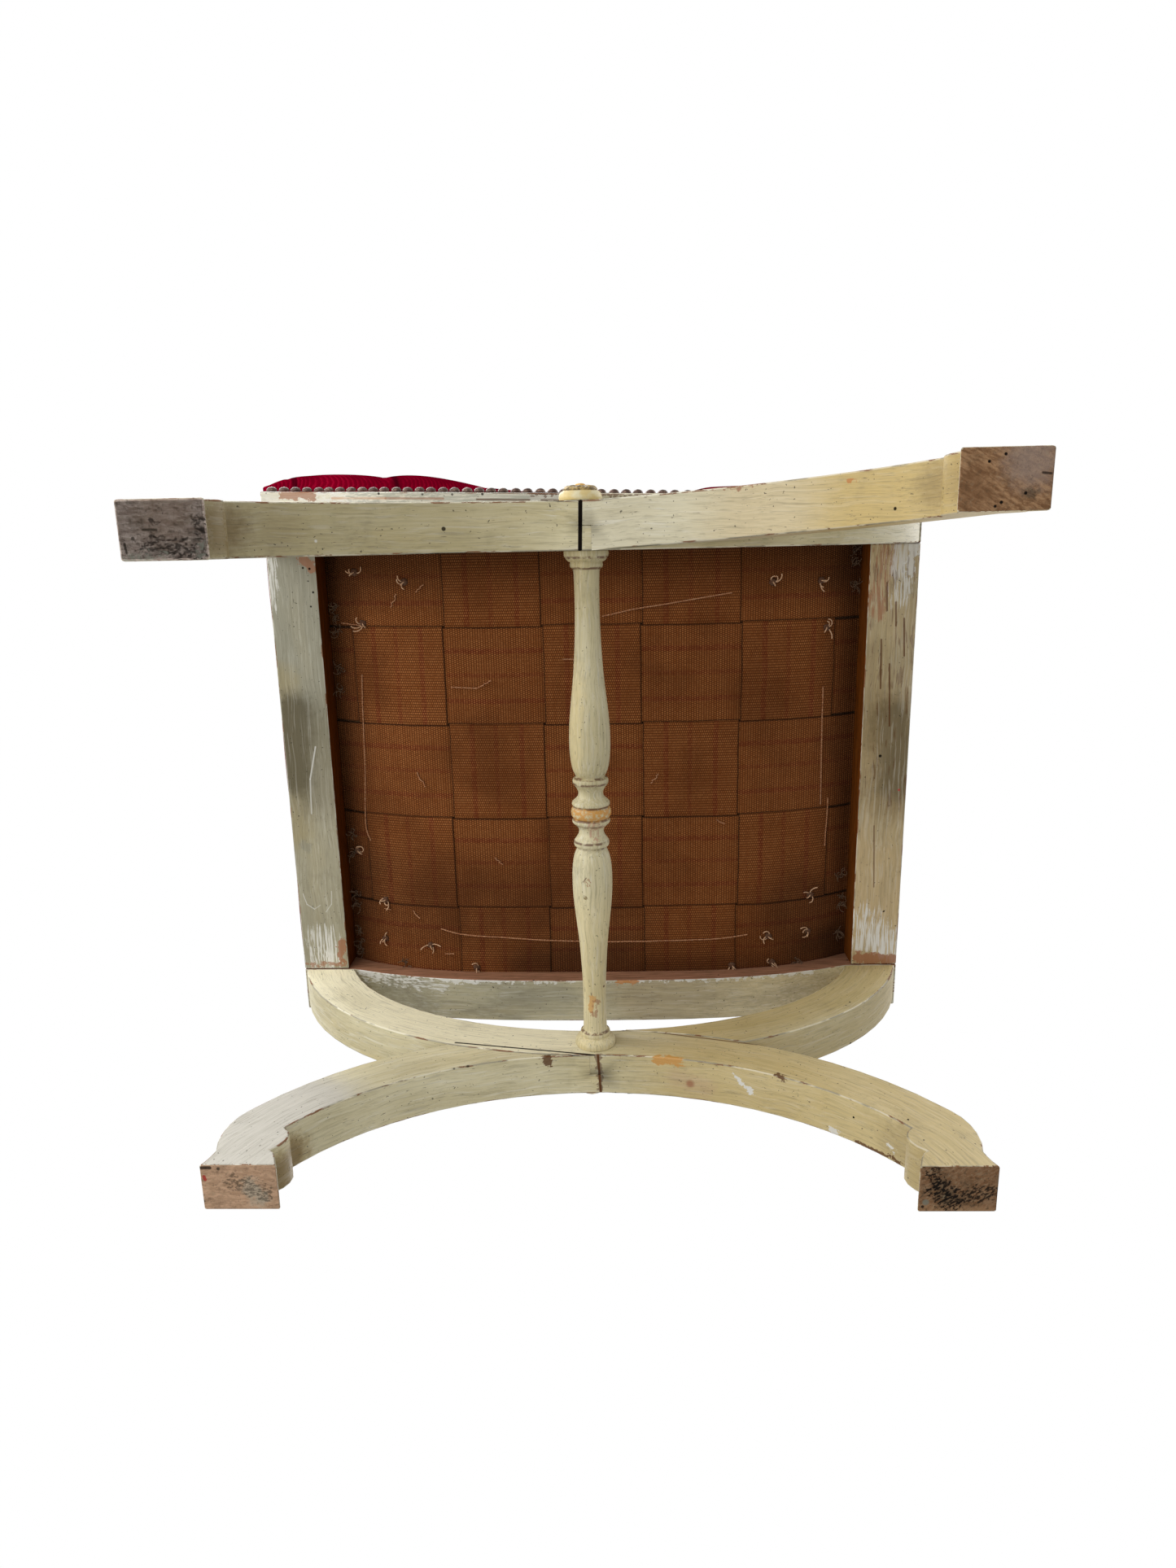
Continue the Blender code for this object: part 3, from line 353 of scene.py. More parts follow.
def legGrain(tree, place, footSide):
    # along the leg's curve, up across it, and through its thickness
    split = addNode(tree, "ShaderNodeSeparateXYZ", {0: place})
    side = calc(tree, "MULTIPLY", split.outputs[0], footSide)
    halves = []
    for halfWidth, halfHeight, middle, up, sideways in legCurves:
        across = calc(tree, "MULTIPLY", side, sideways / halfWidth)
        rise = calc(tree, "MULTIPLY_ADD", split.outputs[2], up / halfHeight, -middle * up / halfHeight)
        angle = calc(tree, "ARCTAN2", across, rise)
        squares = calc(tree, "MULTIPLY_ADD", across, across, calc(tree, "MULTIPLY", rise, rise))
        out = calc(tree, "SUBTRACT", calc(tree, "SQRT", squares), 1.0)
        radius = (halfWidth + halfHeight) / 2
        arc = calc(tree, "MULTIPLY", angle, sideways * radius)
        halves.append((arc, calc(tree, "MULTIPLY", out, up * radius)))
    isArch = calc(tree, "GREATER_THAN", side, 0.0)
    (archAlong, archUp), (armAlong, armUp) = halves
    along = calc(tree, "MULTIPLY_ADD", calc(tree, "SUBTRACT", archAlong, armAlong), isArch, armAlong)
    upward = calc(tree, "MULTIPLY_ADD", calc(tree, "SUBTRACT", archUp, armUp), isArch, armUp)
    return addNode(tree, "ShaderNodeCombineXYZ", {0: along, 1: upward, 2: split.outputs[1]}).outputs[0]


def straightGrain(tree, place, axis):
    split = addNode(tree, "ShaderNodeSeparateXYZ", {0: place})
    order = {"X": (0, 1, 2), "Y": (1, 0, 2)}[axis]
    inputs = {k: split.outputs[n] for k, n in enumerate(order)}
    return addNode(tree, "ShaderNodeCombineXYZ", inputs).outputs[0]


def swinging(tree, grain, place):
    # fibres and brush strokes that swing a little from side to side
    waves = {"Vector": place, "Scale": 24.0, "Detail": 1.0}
    sway = addNode(tree, "ShaderNodeTexNoise", waves).outputs["Color"]
    inputs = {0: vectorCalc(tree, "SUBTRACT", sway, (0.5, 0.5, 0.5)).outputs[0], 1: paint["sway"], 2: grain}
    return addNode(tree, "ShaderNodeVectorMath", inputs, operation="MULTIPLY_ADD").outputs[0]


def wormHoles(tree, place, share):
    # small round holes, one in some of the cells that the wood is divided into
    cells = addNode(tree, "ShaderNodeTexVoronoi", {"Vector": place, "Scale": paint["wormCell"]})
    hole = calc(tree, "LESS_THAN", cells.outputs["Distance"], paint["wormHole"])
    chance = addNode(tree, "ShaderNodeSeparateColor", {0: cells.outputs["Color"]}).outputs[0]
    return calc(tree, "MULTIPLY", hole, calc(tree, "LESS_THAN", chance, share))


def addMarks(tree, colour, place, grain, marks, ragged, strokes):
    # a tone fades softly, a side is a tone on the faces that look to the front only,
    # a patch has a ragged edge, a rub is broken up along the brush strokes,
    # a crack is split along the grain, and a dot is sharp
    for kind, spot, full, gone, colourName, amount in marks:
        if kind == "dot":
            share = near(tree, place, spot, full, gone)
        else:
            share = near(tree, place, spot, full, gone, ragged)
        if kind == "side":
            normal = addNode(tree, "ShaderNodeNewGeometry").outputs["Normal"]
            facing = addNode(tree, "ShaderNodeSeparateXYZ", {0: normal}).outputs[1]
            share = calc(tree, "MULTIPLY", share, ranged(tree, facing, -0.70, -0.85))
        if kind == "rub":
            share = ranged(tree, calc(tree, "MULTIPLY_ADD", share, 0.34, strokes), 0.76, 0.90)
        if kind == "patch":
            share = ranged(tree, calc(tree, "MULTIPLY_ADD", share, 0.60, strokes), 0.80, 0.92)
        if kind == "crack":
            splits = cloud(tree, stretched(tree, grain, 34, 420), 1.0, 2.0)
            share = calc(tree, "MULTIPLY", share, ranged(tree, splits, 0.60, 0.64))
        colour = mixed(tree, calc(tree, "MULTIPLY", share, amount), colour, paint[colourName])
    return colour


def creamPaint(
    name, grainOf, marks, base="cream", shade="shade", dirt=0.3, wear=0.4, worms=0.08, light=0.45,
    warmth=0.35, lines=0.08,
):
    finish, tree, shader = newFinish(name)
    place = placeOf(tree)
    grain = swinging(tree, grainOf(tree, place), place)
    soft = [mark for mark in marks if mark[0] in ("tone", "side")]
    hard = [mark for mark in marks if mark not in soft]
    patches = cloud(tree, stretched(tree, grain, 9, 24), 1.0, 4.0)
    strokes = cloud(tree, stretched(tree, grain, 24, 640), 1.0, 4.0, 0.62)
    hairs = cloud(tree, stretched(tree, grain, 50, 1500), 1.0, 2.0)
    ragged = calc(tree, "MULTIPLY_ADD", cloud(tree, place, 170, 4.0, 0.65), 0.016, -0.008)
    colour = mixed(tree, ranged(tree, patches, 0.36, 0.68), paint[base], paint[shade])
    warm = ranged(tree, cloud(tree, stretched(tree, grain, 8, 40), 1.0, 3.0), 0.52, 0.74, 0.0, warmth)
    colour = mixed(tree, warm, colour, paint["yellow"])
    lighter = cloud(tree, stretched(tree, grain, 30, 480, offset=(3.0, 1.0, 2.0)), 1.0, 4.0)
    colour = mixed(tree, ranged(tree, lighter, 0.52, 0.70, 0.0, light), colour, paint["white"])
    colour = addMarks(tree, colour, place, grain, soft, ragged, strokes)
    scrubbed = cloud(tree, stretched(tree, grain, 9, 480, offset=(1.0, 4.0, 6.0)), 1.0, 3.0, 0.6)
    colour = mixed(tree, ranged(tree, scrubbed, 0.51, 0.62, 0.0, lines), colour, paint["grime"])
    colour = mixed(tree, ranged(tree, scrubbed, 0.47, 0.36, 0.0, lines), colour, paint["white"])
    streak = calc(tree, "MULTIPLY", ranged(tree, strokes, 0.50, 0.72), 0.34)
    colour = mixed(tree, streak, colour, paint["grime"])
    fine = calc(tree, "MULTIPLY", ranged(tree, hairs, 0.55, 0.72), 0.26)
    colour = mixed(tree, fine, colour, paint["grime"])
    soot = calc(tree, "MULTIPLY", ranged(tree, cloud(tree, place, 23, 5.0, 0.7), 0.54, 0.80), dirt)
    colour = mixed(tree, soot, colour, paint["grime"])
    scratched = cloud(tree, stretched(tree, grain, 120, 900, offset=(7.0, 5.0, 1.0)), 1.0, 2.0)
    colour = mixed(tree, ranged(tree, scratched, 0.70, 0.74, 0.0, 0.7), colour, paint["soot"])
    specks = calc(tree, "GREATER_THAN", cloud(tree, place, 420, 2.0, 0.5), 0.715)
    colour = mixed(tree, calc(tree, "MULTIPLY", specks, 0.8), colour, paint["soot"])
    arris = addNode(tree, "ShaderNodeAttribute", attribute_name="arris").outputs["Fac"]
    chipped = cloud(tree, stretched(tree, grain, 42, 240), 1.0, 4.0, 0.7)
    chips = ranged(tree, chipped, 0.62 - 0.18 * wear, 0.65 - 0.18 * wear)
    # painted highlight: the arrises drawn whiter, partly rubbed paint and partly light along the edges
    colour = mixed(tree, calc(tree, "MULTIPLY", arris, 0.55), colour, paint["white"])
    broken = cloud(tree, stretched(tree, grain, 26, 60, offset=(2.0, 9.0, 4.0)), 1.0, 3.0)
    dirtLine = calc(tree, "MULTIPLY", ranged(tree, broken, 0.49, 0.55), 0.80)
    colour = mixed(tree, calc(tree, "MULTIPLY", arris, dirtLine), colour, paint["grime"])
    bare = calc(tree, "MULTIPLY", calc(tree, "GREATER_THAN", arris, 0.12), chips)
    flaked = ranged(tree, cloud(tree, stretched(tree, grain, 90, 330), 1.0, 4.0, 0.7), 0.75, 0.77)
    bare = calc(tree, "MAXIMUM", bare, calc(tree, "MULTIPLY", flaked, wear))
    woodColour = mixed(tree, hairs, paint["wood"], paint["oldWood"])
    colour = mixed(tree, calc(tree, "MULTIPLY", bare, 0.9), colour, woodColour)
    colour = addMarks(tree, colour, place, grain, hard, ragged, strokes)
    holes = wormHoles(tree, place, worms)
    colour = mixed(tree, holes, colour, paint["black"])
    tree.links.new(colour, shader.inputs["Base Color"])
    # dirt, cracks and holes have none of the paint's gloss
    tone = addNode(tree, "ShaderNodeRGBToBW", {0: colour}).outputs[0]
    tree.links.new(ranged(tree, tone, 0.02, 0.20, 0.0, 0.5), shader.inputs["Specular IOR Level"])
    rough = calc(tree, "MULTIPLY_ADD", strokes, 0.22, paint["roughness"] - 0.11)
    tree.links.new(calc(tree, "MULTIPLY_ADD", bare, 0.25, rough), shader.inputs["Roughness"])
    height = calc(tree, "MULTIPLY_ADD", hairs, 0.35, strokes)
    height = calc(tree, "MULTIPLY_ADD", bare, -1.2, height)
    height = calc(tree, "MULTIPLY_ADD", holes, -2.0, height)
    tree.links.new(bumped(tree, height, 0.5, 0.0005), shader.inputs["Normal"])
    return finish


def bareWood(name, grainOf, colour, dark):
    finish, tree, shader = newFinish(name, Roughness=0.85, Specular_IOR_Level=0.03)
    place = placeOf(tree)
    grain = grainOf(tree, place)
    fibres = cloud(tree, stretched(tree, grain, 40, 900), 1.0, 4.0, 0.65)
    blotches = cloud(tree, place, 90, 4.0, 0.65)
    shown = mixed(tree, ranged(tree, fibres, 0.30, 0.70), colour, dark)
    shown = mixed(tree, ranged(tree, blotches, 0.50, 0.72, 0.0, paint["insideDirt"]), shown, paint["soot"])
    shown = mixed(tree, wormHoles(tree, place, paint["insideWorms"]), shown, paint["black"])
    tree.links.new(shown, shader.inputs["Base Color"])
    tree.links.new(bumped(tree, fibres, 0.6, 0.0006), shader.inputs["Normal"])
    return finish


def endGrain(name, marks, colour, dark, stains, mottle, turn):
    # the sawn and trodden end of a foot: mottled, pitted and stained, its fibres turned by an angle
    finish, tree, shader = newFinish(name, Roughness=0.9, Specular_IOR_Level=0.05)
    place = placeOf(tree)
    turned = addNode(tree, "ShaderNodeMapping", {"Vector": place, "Rotation": (0.0, 0.0, turn)}).outputs[0]
    rays = cloud(tree, stretched(tree, turned, 130, 420), 1.0, 4.0, 0.7, 0.4)
    pits = cloud(tree, place, 300, 4.0, 0.7)
    broad = cloud(tree, place, 75, 5.0, 0.7, 0.4)
    specks = cloud(tree, stretched(tree, turned, 330, 560), 1.0, 3.0, 0.6)
    ragged = calc(tree, "MULTIPLY_ADD", cloud(tree, place, 190, 4.0, 0.7), 0.018, -0.009)
    tones = [mark for mark in marks if mark[0] == "tone"]
    others = [mark for mark in marks if mark[0] != "tone"]
    shown = mixed(tree, ranged(tree, rays, 0.34, 0.64), paint[colour], paint[dark])
    shown = mixed(tree, ranged(tree, broad, 0.50, 0.60, 0.0, stains), shown, paint["soot"])
    shown = addMarks(tree, shown, place, place, tones, ragged, rays)
    shown = mixed(tree, ranged(tree, pits, 0.54, 0.61, 0.0, mottle), shown, paint["soot"])
    shown = mixed(tree, ranged(tree, pits, 0.43, 0.36, 0.0, 0.7 * mottle), shown, paint["ash"])
    shown = addMarks(tree, shown, place, place, others, ragged, specks)
    tree.links.new(shown, shader.inputs["Base Color"])
    height = calc(tree, "MULTIPLY_ADD", rays, 0.5, pits)
    tree.links.new(bumped(tree, height, 0.8, 0.0008), shader.inputs["Normal"])
    return finish


# where the halved joints are: half their width, their top, and the middles of the two frames
lap = {"reach": 0.030, "top": 0.150, "shoulder": 0.006, "near": 0.002, "middles": (-0.2135, 0.2205)}


def isLapEdge(first, second):
    # the halved joint's own edges on the underside of a crossing, which stay tight and don't show
    if max(abs(first.x), abs(second.x)) > lap["reach"] or max(first.z, second.z) > lap["top"]:
        return False
    isAcross = abs(first.x - second.x) < lap["near"] and abs(first.x) < lap["shoulder"]
    middleY = min(lap["middles"], key=lambda middle: abs(first.y - middle))
    isAlong = abs(first.y - middleY) < lap["near"] and abs(second.y - middleY) < lap["near"]
    return isAcross or isAlong


def woodCopy(nodeName, newName):
    # the frame's own shape with its arrises rounded over; the rounding remembers where it is worn and where a
    # painted highlight runs along the arrises
    piece = bpy.data.objects.new(newName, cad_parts[nodeName].data.copy())
    bpy.context.scene.collection.objects.link(piece)
    pickOnly(piece)
    bpy.ops.object.mode_set(mode="EDIT")
    bpy.ops.mesh.select_mode(type="EDGE")
    bpy.ops.mesh.select_all(action="SELECT")
    bpy.ops.mesh.remove_doubles(threshold=2e-5)
    bpy.ops.mesh.dissolve_limited(angle_limit=math.radians(0.6))
    bpy.ops.mesh.select_all(action="DESELECT")
    bpy.ops.mesh.edges_select_sharp(sharpness=math.radians(32))
    bpy.ops.object.mode_set(mode="OBJECT")
    mesh = piece.data
    rounded = mesh.attributes.new("bevel_weight_edge", "FLOAT", "EDGE")
    for edge in mesh.edges:
        first, second = [mesh.vertices[k].co for k in edge.vertices]
        rounded.data[edge.index].value = 1.0 if edge.select and not isLapEdge(first, second) else 0.0
    while len(mesh.materials) < 2:
        mesh.materials.append(None)
    mesh.polygons.foreach_set("material_index", [0] * len(mesh.polygons))
    applyModifier(
        piece, "BEVEL", width=paint["arris"], segments=2, limit_method="WEIGHT", use_clamp_overlap=False,
        material=1, miter_outer="MITER_SHARP",
    )
    mesh = piece.data
    middle = [True] * len(mesh.vertices)
    for face in mesh.polygons:
        if face.material_index != 1:
            for corner in face.vertices:
                middle[corner] = False
        face.material_index = 0
    arris = mesh.attributes.new("arris", "FLOAT", "POINT")
    arris.data.foreach_set("value", [1.0 if one else 0.0 for one in middle])
    bpy.ops.object.shade_smooth()
    applyModifier(piece, "WEIGHTED_NORMAL", mode="FACE_AREA", weight=60, keep_sharp=False)
    return piece


def giveFinishWhere(piece, number, wanted):
    for face in piece.data.polygons:
        if wanted(face.center, face.normal):
            face.material_index = number
    piece.data.update()


def placed(marks, move):
    # the marks with every place in them moved
    out = []
    for kind, spot, *rest in marks:
        spot = tuple(move(*end) for end in spot) if isinstance(spot[0], tuple) else move(*spot)
        out.append((kind, spot, *rest))
    return out


# a mark is its kind, its place or the two ends of a line, how far it is full, where it is gone,
# its colour and its amount; the marks on a sole are given by X and Y only
frontSeam = ((-0.0024, -0.2420, 0.1450), (-0.0038, -0.1950, 0.1450))
backSeam = ((0.0022, 0.2030, 0.1450), (0.0041, 0.2360, 0.1450))
legs = {
    "frontLeftLeg": {
        "node": "front_left_leg", "footSide": -1,
        "sole": {"colour": "footWood", "dark": "footShade", "stains": 0.35, "mottle": 0.50, "turn": 0.0},
        "marks": (
            # partly painted shade: the arch's left end and its ankle drawn darker olive and umber, partly the
            # paint's own darker tone
            ("tone", ((-0.24, -0.22, 0.04), (-0.12, -0.22, 0.13)), 0.02, 0.12, "olive", 0.50),
            ("tone", ((-0.213, -0.214, 0.0), (-0.215, -0.214, 0.040)), 0.008, 0.026, "umber", 0.80),
            ("tone", ((-0.200, -0.214, 0.050), (-0.190, -0.214, 0.065)), 0.006, 0.030, "umber", 0.30),
            ("tone", ((0.06, -0.22, 0.18), (0.26, -0.24, 0.32)), 0.03, 0.10, "olive", 0.45),
            ("dot", (-0.0985, -0.2128, 0.1296), 0.0012, 0.0018, "black", 0.9),
            ("dot", (-0.1774, -0.2060, 0.0893), 0.0005, 0.0014, "gesso", 0.8),
            ("dot", frontSeam, 0.0012, 0.0018, "black", 1.0),
        ),
        "soleMarks": (
            ("tone", (-0.238, -0.222), 0.008, 0.026, "darkBrown", 0.30),
            ("rub", ((-0.2178, -0.2190), (-0.2185, -0.1990)), 0.0015, 0.0080, "black", 0.80),
            ("rub", ((-0.2480, -0.2050), (-0.2240, -0.2010)), 0.0030, 0.0120, "black", 0.80),
            ("patch", (-0.2448, -0.2182), 0.0005, 0.0035, "black", 0.7),
            ("patch", (-0.2575, -0.2090), 0.0003, 0.0030, "black", 0.7),
            ("dot", ((-0.2509, -0.2137), (-0.2433, -0.2136)), 0.0004, 0.0010, "soot", 0.8),
            ("dot", ((-0.2628, -0.2060), (-0.2622, -0.2010)), 0.0004, 0.0010, "black", 0.8),
            ("rub", ((-0.2613, -0.1990), (-0.2400, -0.1975)), 0.0005, 0.0060, "grey", 0.8),
            ("rub", ((-0.2200, -0.2000), (-0.2170, -0.2060)), 0.0005, 0.0050, "grey", 0.8),
        ),
    },
    "frontRightLeg": {
        "node": "front_right_leg", "footSide": 1,
        "sole": {"colour": "brown", "dark": "brownShade", "stains": 0.18, "mottle": 0.22, "turn": -0.5},
        "marks": (
            ("tone", ((0.14, -0.22, 0.11), (0.26, -0.23, 0.02)), 0.03, 0.09, "straw", 0.85),
            ("tone", ((0.217, -0.2315, 0.0), (0.221, -0.2315, 0.055)), 0.004, 0.022, "umber", 0.55),
            ("tone", ((0.213, -0.2315, 0.0), (0.213, -0.2315, 0.030)), 0.010, 0.030, "straw", 0.35),
            ("tone", ((0.02, -0.22, 0.145), (0.12, -0.22, 0.130)), 0.02, 0.07, "white", 0.30),
            ("patch", (0.1735, -0.2376, 0.0920), 0.0001, 0.0050, "amber", 0.9),
            ("dot", (0.1985, -0.2186, 0.0708), 0.0008, 0.0014, "black", 0.95),
            ("patch", ((0.02, -0.2385, 0.1440), (0.12, -0.2385, 0.1260)), 0.0001, 0.0060, "wood", 0.8),
            ("dot", frontSeam, 0.0012, 0.0018, "black", 1.0),
        ),
        "soleMarks": (
            ("tone", (0.254, -0.242), 0.006, 0.024, "footShade", 0.65),
            ("tone", (0.222, -0.226), 0.004, 0.016, "brownShade", 0.65),
            ("tone", (0.2542, -0.2236), 0.0015, 0.0050, "soot", 0.55),
            ("dot", (0.2381, -0.2190), 0.0007, 0.0012, "black", 1.0),
            ("dot", (0.2348, -0.2169), 0.0006, 0.0010, "black", 1.0),
            ("dot", (0.2512, -0.2237), 0.0007, 0.0012, "black", 1.0),
            ("dot", (0.2298, -0.2411), 0.0006, 0.0011, "black", 1.0),
            ("dot", (0.2386, -0.2449), 0.0006, 0.0012, "black", 1.0),
            ("dot", ((0.2600, -0.2345), (0.2645, -0.2340)), 0.0004, 0.0010, "black", 0.8),
        ),
    },
    "backLeftLeg": {
        "node": "back_left_leg", "footSide": -1,
        "sole": {"colour": "tan", "dark": "tanShade", "stains": 0.16, "mottle": 0.28, "turn": 0.0},
        "marks": (
            ("side", ((-0.25, 0.203, 0.0), (-0.222, 0.203, 0.06)), 0.036, 0.075, "chalk", 0.92),
            ("side", ((-0.17, 0.203, 0.105), (-0.15, 0.203, 0.115)), 0.010, 0.040, "ash", 0.30),
            ("tone", ((-0.16, 0.235, 0.09), (-0.06, 0.235, 0.135)), 0.020, 0.045, "pale", 0.14),
            ("tone", ((-0.214, 0.228, 0.0), (-0.216, 0.228, 0.040)), 0.010, 0.024, "straw", 0.90),
            ("tone", ((-0.214, 0.228, 0.0), (-0.216, 0.228, 0.040)), 0.010, 0.024, "umber", 0.80),
            ("tone", ((0.06, 0.22, 0.19), (0.26, 0.22, 0.32)), 0.03, 0.10, "straw", 0.60),
            ("tone", ((0.14, 0.22, 0.21), (0.27, 0.22, 0.31)), 0.02, 0.08, "olive", 0.32),
            ("patch", ((-0.0392, 0.2045, 0.1425), (-0.0392, 0.2075, 0.1425)), 0.0001, 0.0080, "oldWood", 0.9),
            ("dot", (-0.1015, 0.2031, 0.1286), 0.0008, 0.0020, "soot", 0.9),
            ("dot", (-0.1120, 0.2030, 0.1249), 0.0006, 0.0016, "soot", 0.9),
            ("dot", (0.2257, 0.2364, 0.2230), 0.0008, 0.0014, "soot", 0.9),
            ("patch", backSeam, 0.0001, 0.0040, "oldWood", 0.7),
            ("dot", backSeam, 0.0007, 0.0013, "oldWood", 0.95),
        ),
        "soleMarks": (
            ("tone", ((-0.2330, 0.2200), (-0.2270, 0.2290)), 0.002, 0.010, "grey", 0.50),
            ("rub", ((-0.2440, 0.2160), (-0.2230, 0.2250)), 0.0040, 0.0120, "soot", 0.62),
            ("dot", ((-0.2637, 0.2120), (-0.2632, 0.2142)), 0.0009, 0.0015, "red", 0.9),
            ("dot", ((-0.2655, 0.2052), (-0.2590, 0.2052)), 0.0008, 0.0016, "black", 0.85),
            ("dot", (-0.2533, 0.2059), 0.0008, 0.0016, "soot", 0.85),
            ("dot", (-0.2658, 0.2312), 0.0006, 0.0014, "soot", 0.7),
        ),
    },
    "backRightLeg": {
        "node": "back_right_leg", "footSide": 1,
        "sole": {"colour": "darkBrown", "dark": "brownShade", "stains": 0.30, "mottle": 0.50, "turn": 0.6},
        "marks": (
            ("tone", ((0.25, 0.22, 0.03), (0.10, 0.22, 0.13)), 0.03, 0.11, "straw", 0.60),
            ("tone", ((0.219, 0.223, 0.0), (0.223, 0.223, 0.055)), 0.008, 0.026, "umber", 0.32),
            # painted light: the U arm's face to the front drawn pale, as if lit from the front
            ("side", ((-0.06, 0.203, 0.17), (-0.24, 0.203, 0.26)), 0.034, 0.080, "pale", 0.85),
            ("side", ((-0.24, 0.203, 0.26), (-0.27, 0.203, 0.32)), 0.034, 0.060, "pale", 0.70),
            ("side", ((-0.235, 0.203, 0.262), (-0.215, 0.203, 0.240)), 0.004, 0.020, "olive", 0.18),
            ("patch", ((0.0500, 0.2050, 0.1408), (0.0660, 0.2062, 0.1388)), 0.0004, 0.0090, "gold", 0.9),
            ("dot", (0.0764, 0.2242, 0.1358), 0.0014, 0.0048, "wood", 0.85),
            ("tone", ((0.0660, 0.2200, 0.1370), (0.0880, 0.2260, 0.1330)), 0.001, 0.014, "pinkWood", 0.35),
            ("patch", ((0.1960, 0.2372, 0.0752), (0.2205, 0.2378, 0.0500)), 0.0002, 0.0048, "oldWood", 0.90),
            ("patch", ((0.1090, 0.2086, 0.1261), (0.1246, 0.2244, 0.1201)), 0.0001, 0.0030, "gesso", 0.9),
            ("patch", (0.1817, 0.2356, 0.0871), 0.0001, 0.0070, "gesso", 0.8),
            ("patch", (0.2156, 0.2285, 0.0556), 0.0001, 0.0070, "gesso", 0.8),
            ("patch", (0.1450, 0.2033, 0.1119), 0.0001, 0.0080, "oldWood", 0.9),
            ("patch", backSeam, 0.0001, 0.0040, "oldWood", 0.7),
            ("dot", backSeam, 0.0007, 0.0013, "oldWood", 0.95),
            ("dot", ((-0.1172, 0.2030, 0.1665), (-0.0009, 0.2030, 0.1450)), 0.0006, 0.0013, "black", 0.95),
            ("dot", ((0.0468, 0.2030, 0.1833), (0.1330, 0.2031, 0.1601)), 0.0005, 0.0012, "oldWood", 0.8),
        ),
        "soleMarks": (
            ("rub", ((0.2285, 0.2100), (0.2310, 0.2220)), 0.0030, 0.0100, "black", 0.90),
            ("rub", ((0.2320, 0.2220), (0.2394, 0.2320)), 0.0060, 0.0140, "black", 0.95),
            ("rub", ((0.2420, 0.2290), (0.2650, 0.2250)), 0.0040, 0.0120, "black", 0.90),
            ("tone", ((0.2330, 0.2200), (0.2400, 0.2320)), 0.0020, 0.0110, "soot", 0.50),
            ("tone", ((0.222, 0.239), (0.266, 0.239)), 0.001, 0.007, "brown", 0.45),
            ("dot", (0.2237, 0.2328), 0.0016, 0.0028, "slate", 0.8),
            ("dot", (0.2218, 0.2362), 0.0008, 0.0014, "black", 0.9),
        ),
    },
}


def addLegs():
    for name, leg in legs.items():
        piece = woodCopy(leg["node"], name)
        finish = creamPaint(
            name + "Paint", lambda tree, place: legGrain(tree, place, leg["footSide"]), leg["marks"],
        )
        sole = endGrain(name + "Sole", placed(leg["soleMarks"], lambda x, y: (x, y, 0.0)), **leg["sole"])
        dress(piece, [finish, sole], [leg["node"]])
        giveFinishWhere(piece, 1, lambda centre, normal: normal.z < -0.9 and centre.z < 0.001)


def onFrontFace(x, y, z):
    return x, y + drawnIn(x), z


def onBackFace(x, y, z):
    return x, y, z


def underSide(x, y):
    return x, y, seat["undersideZ"]


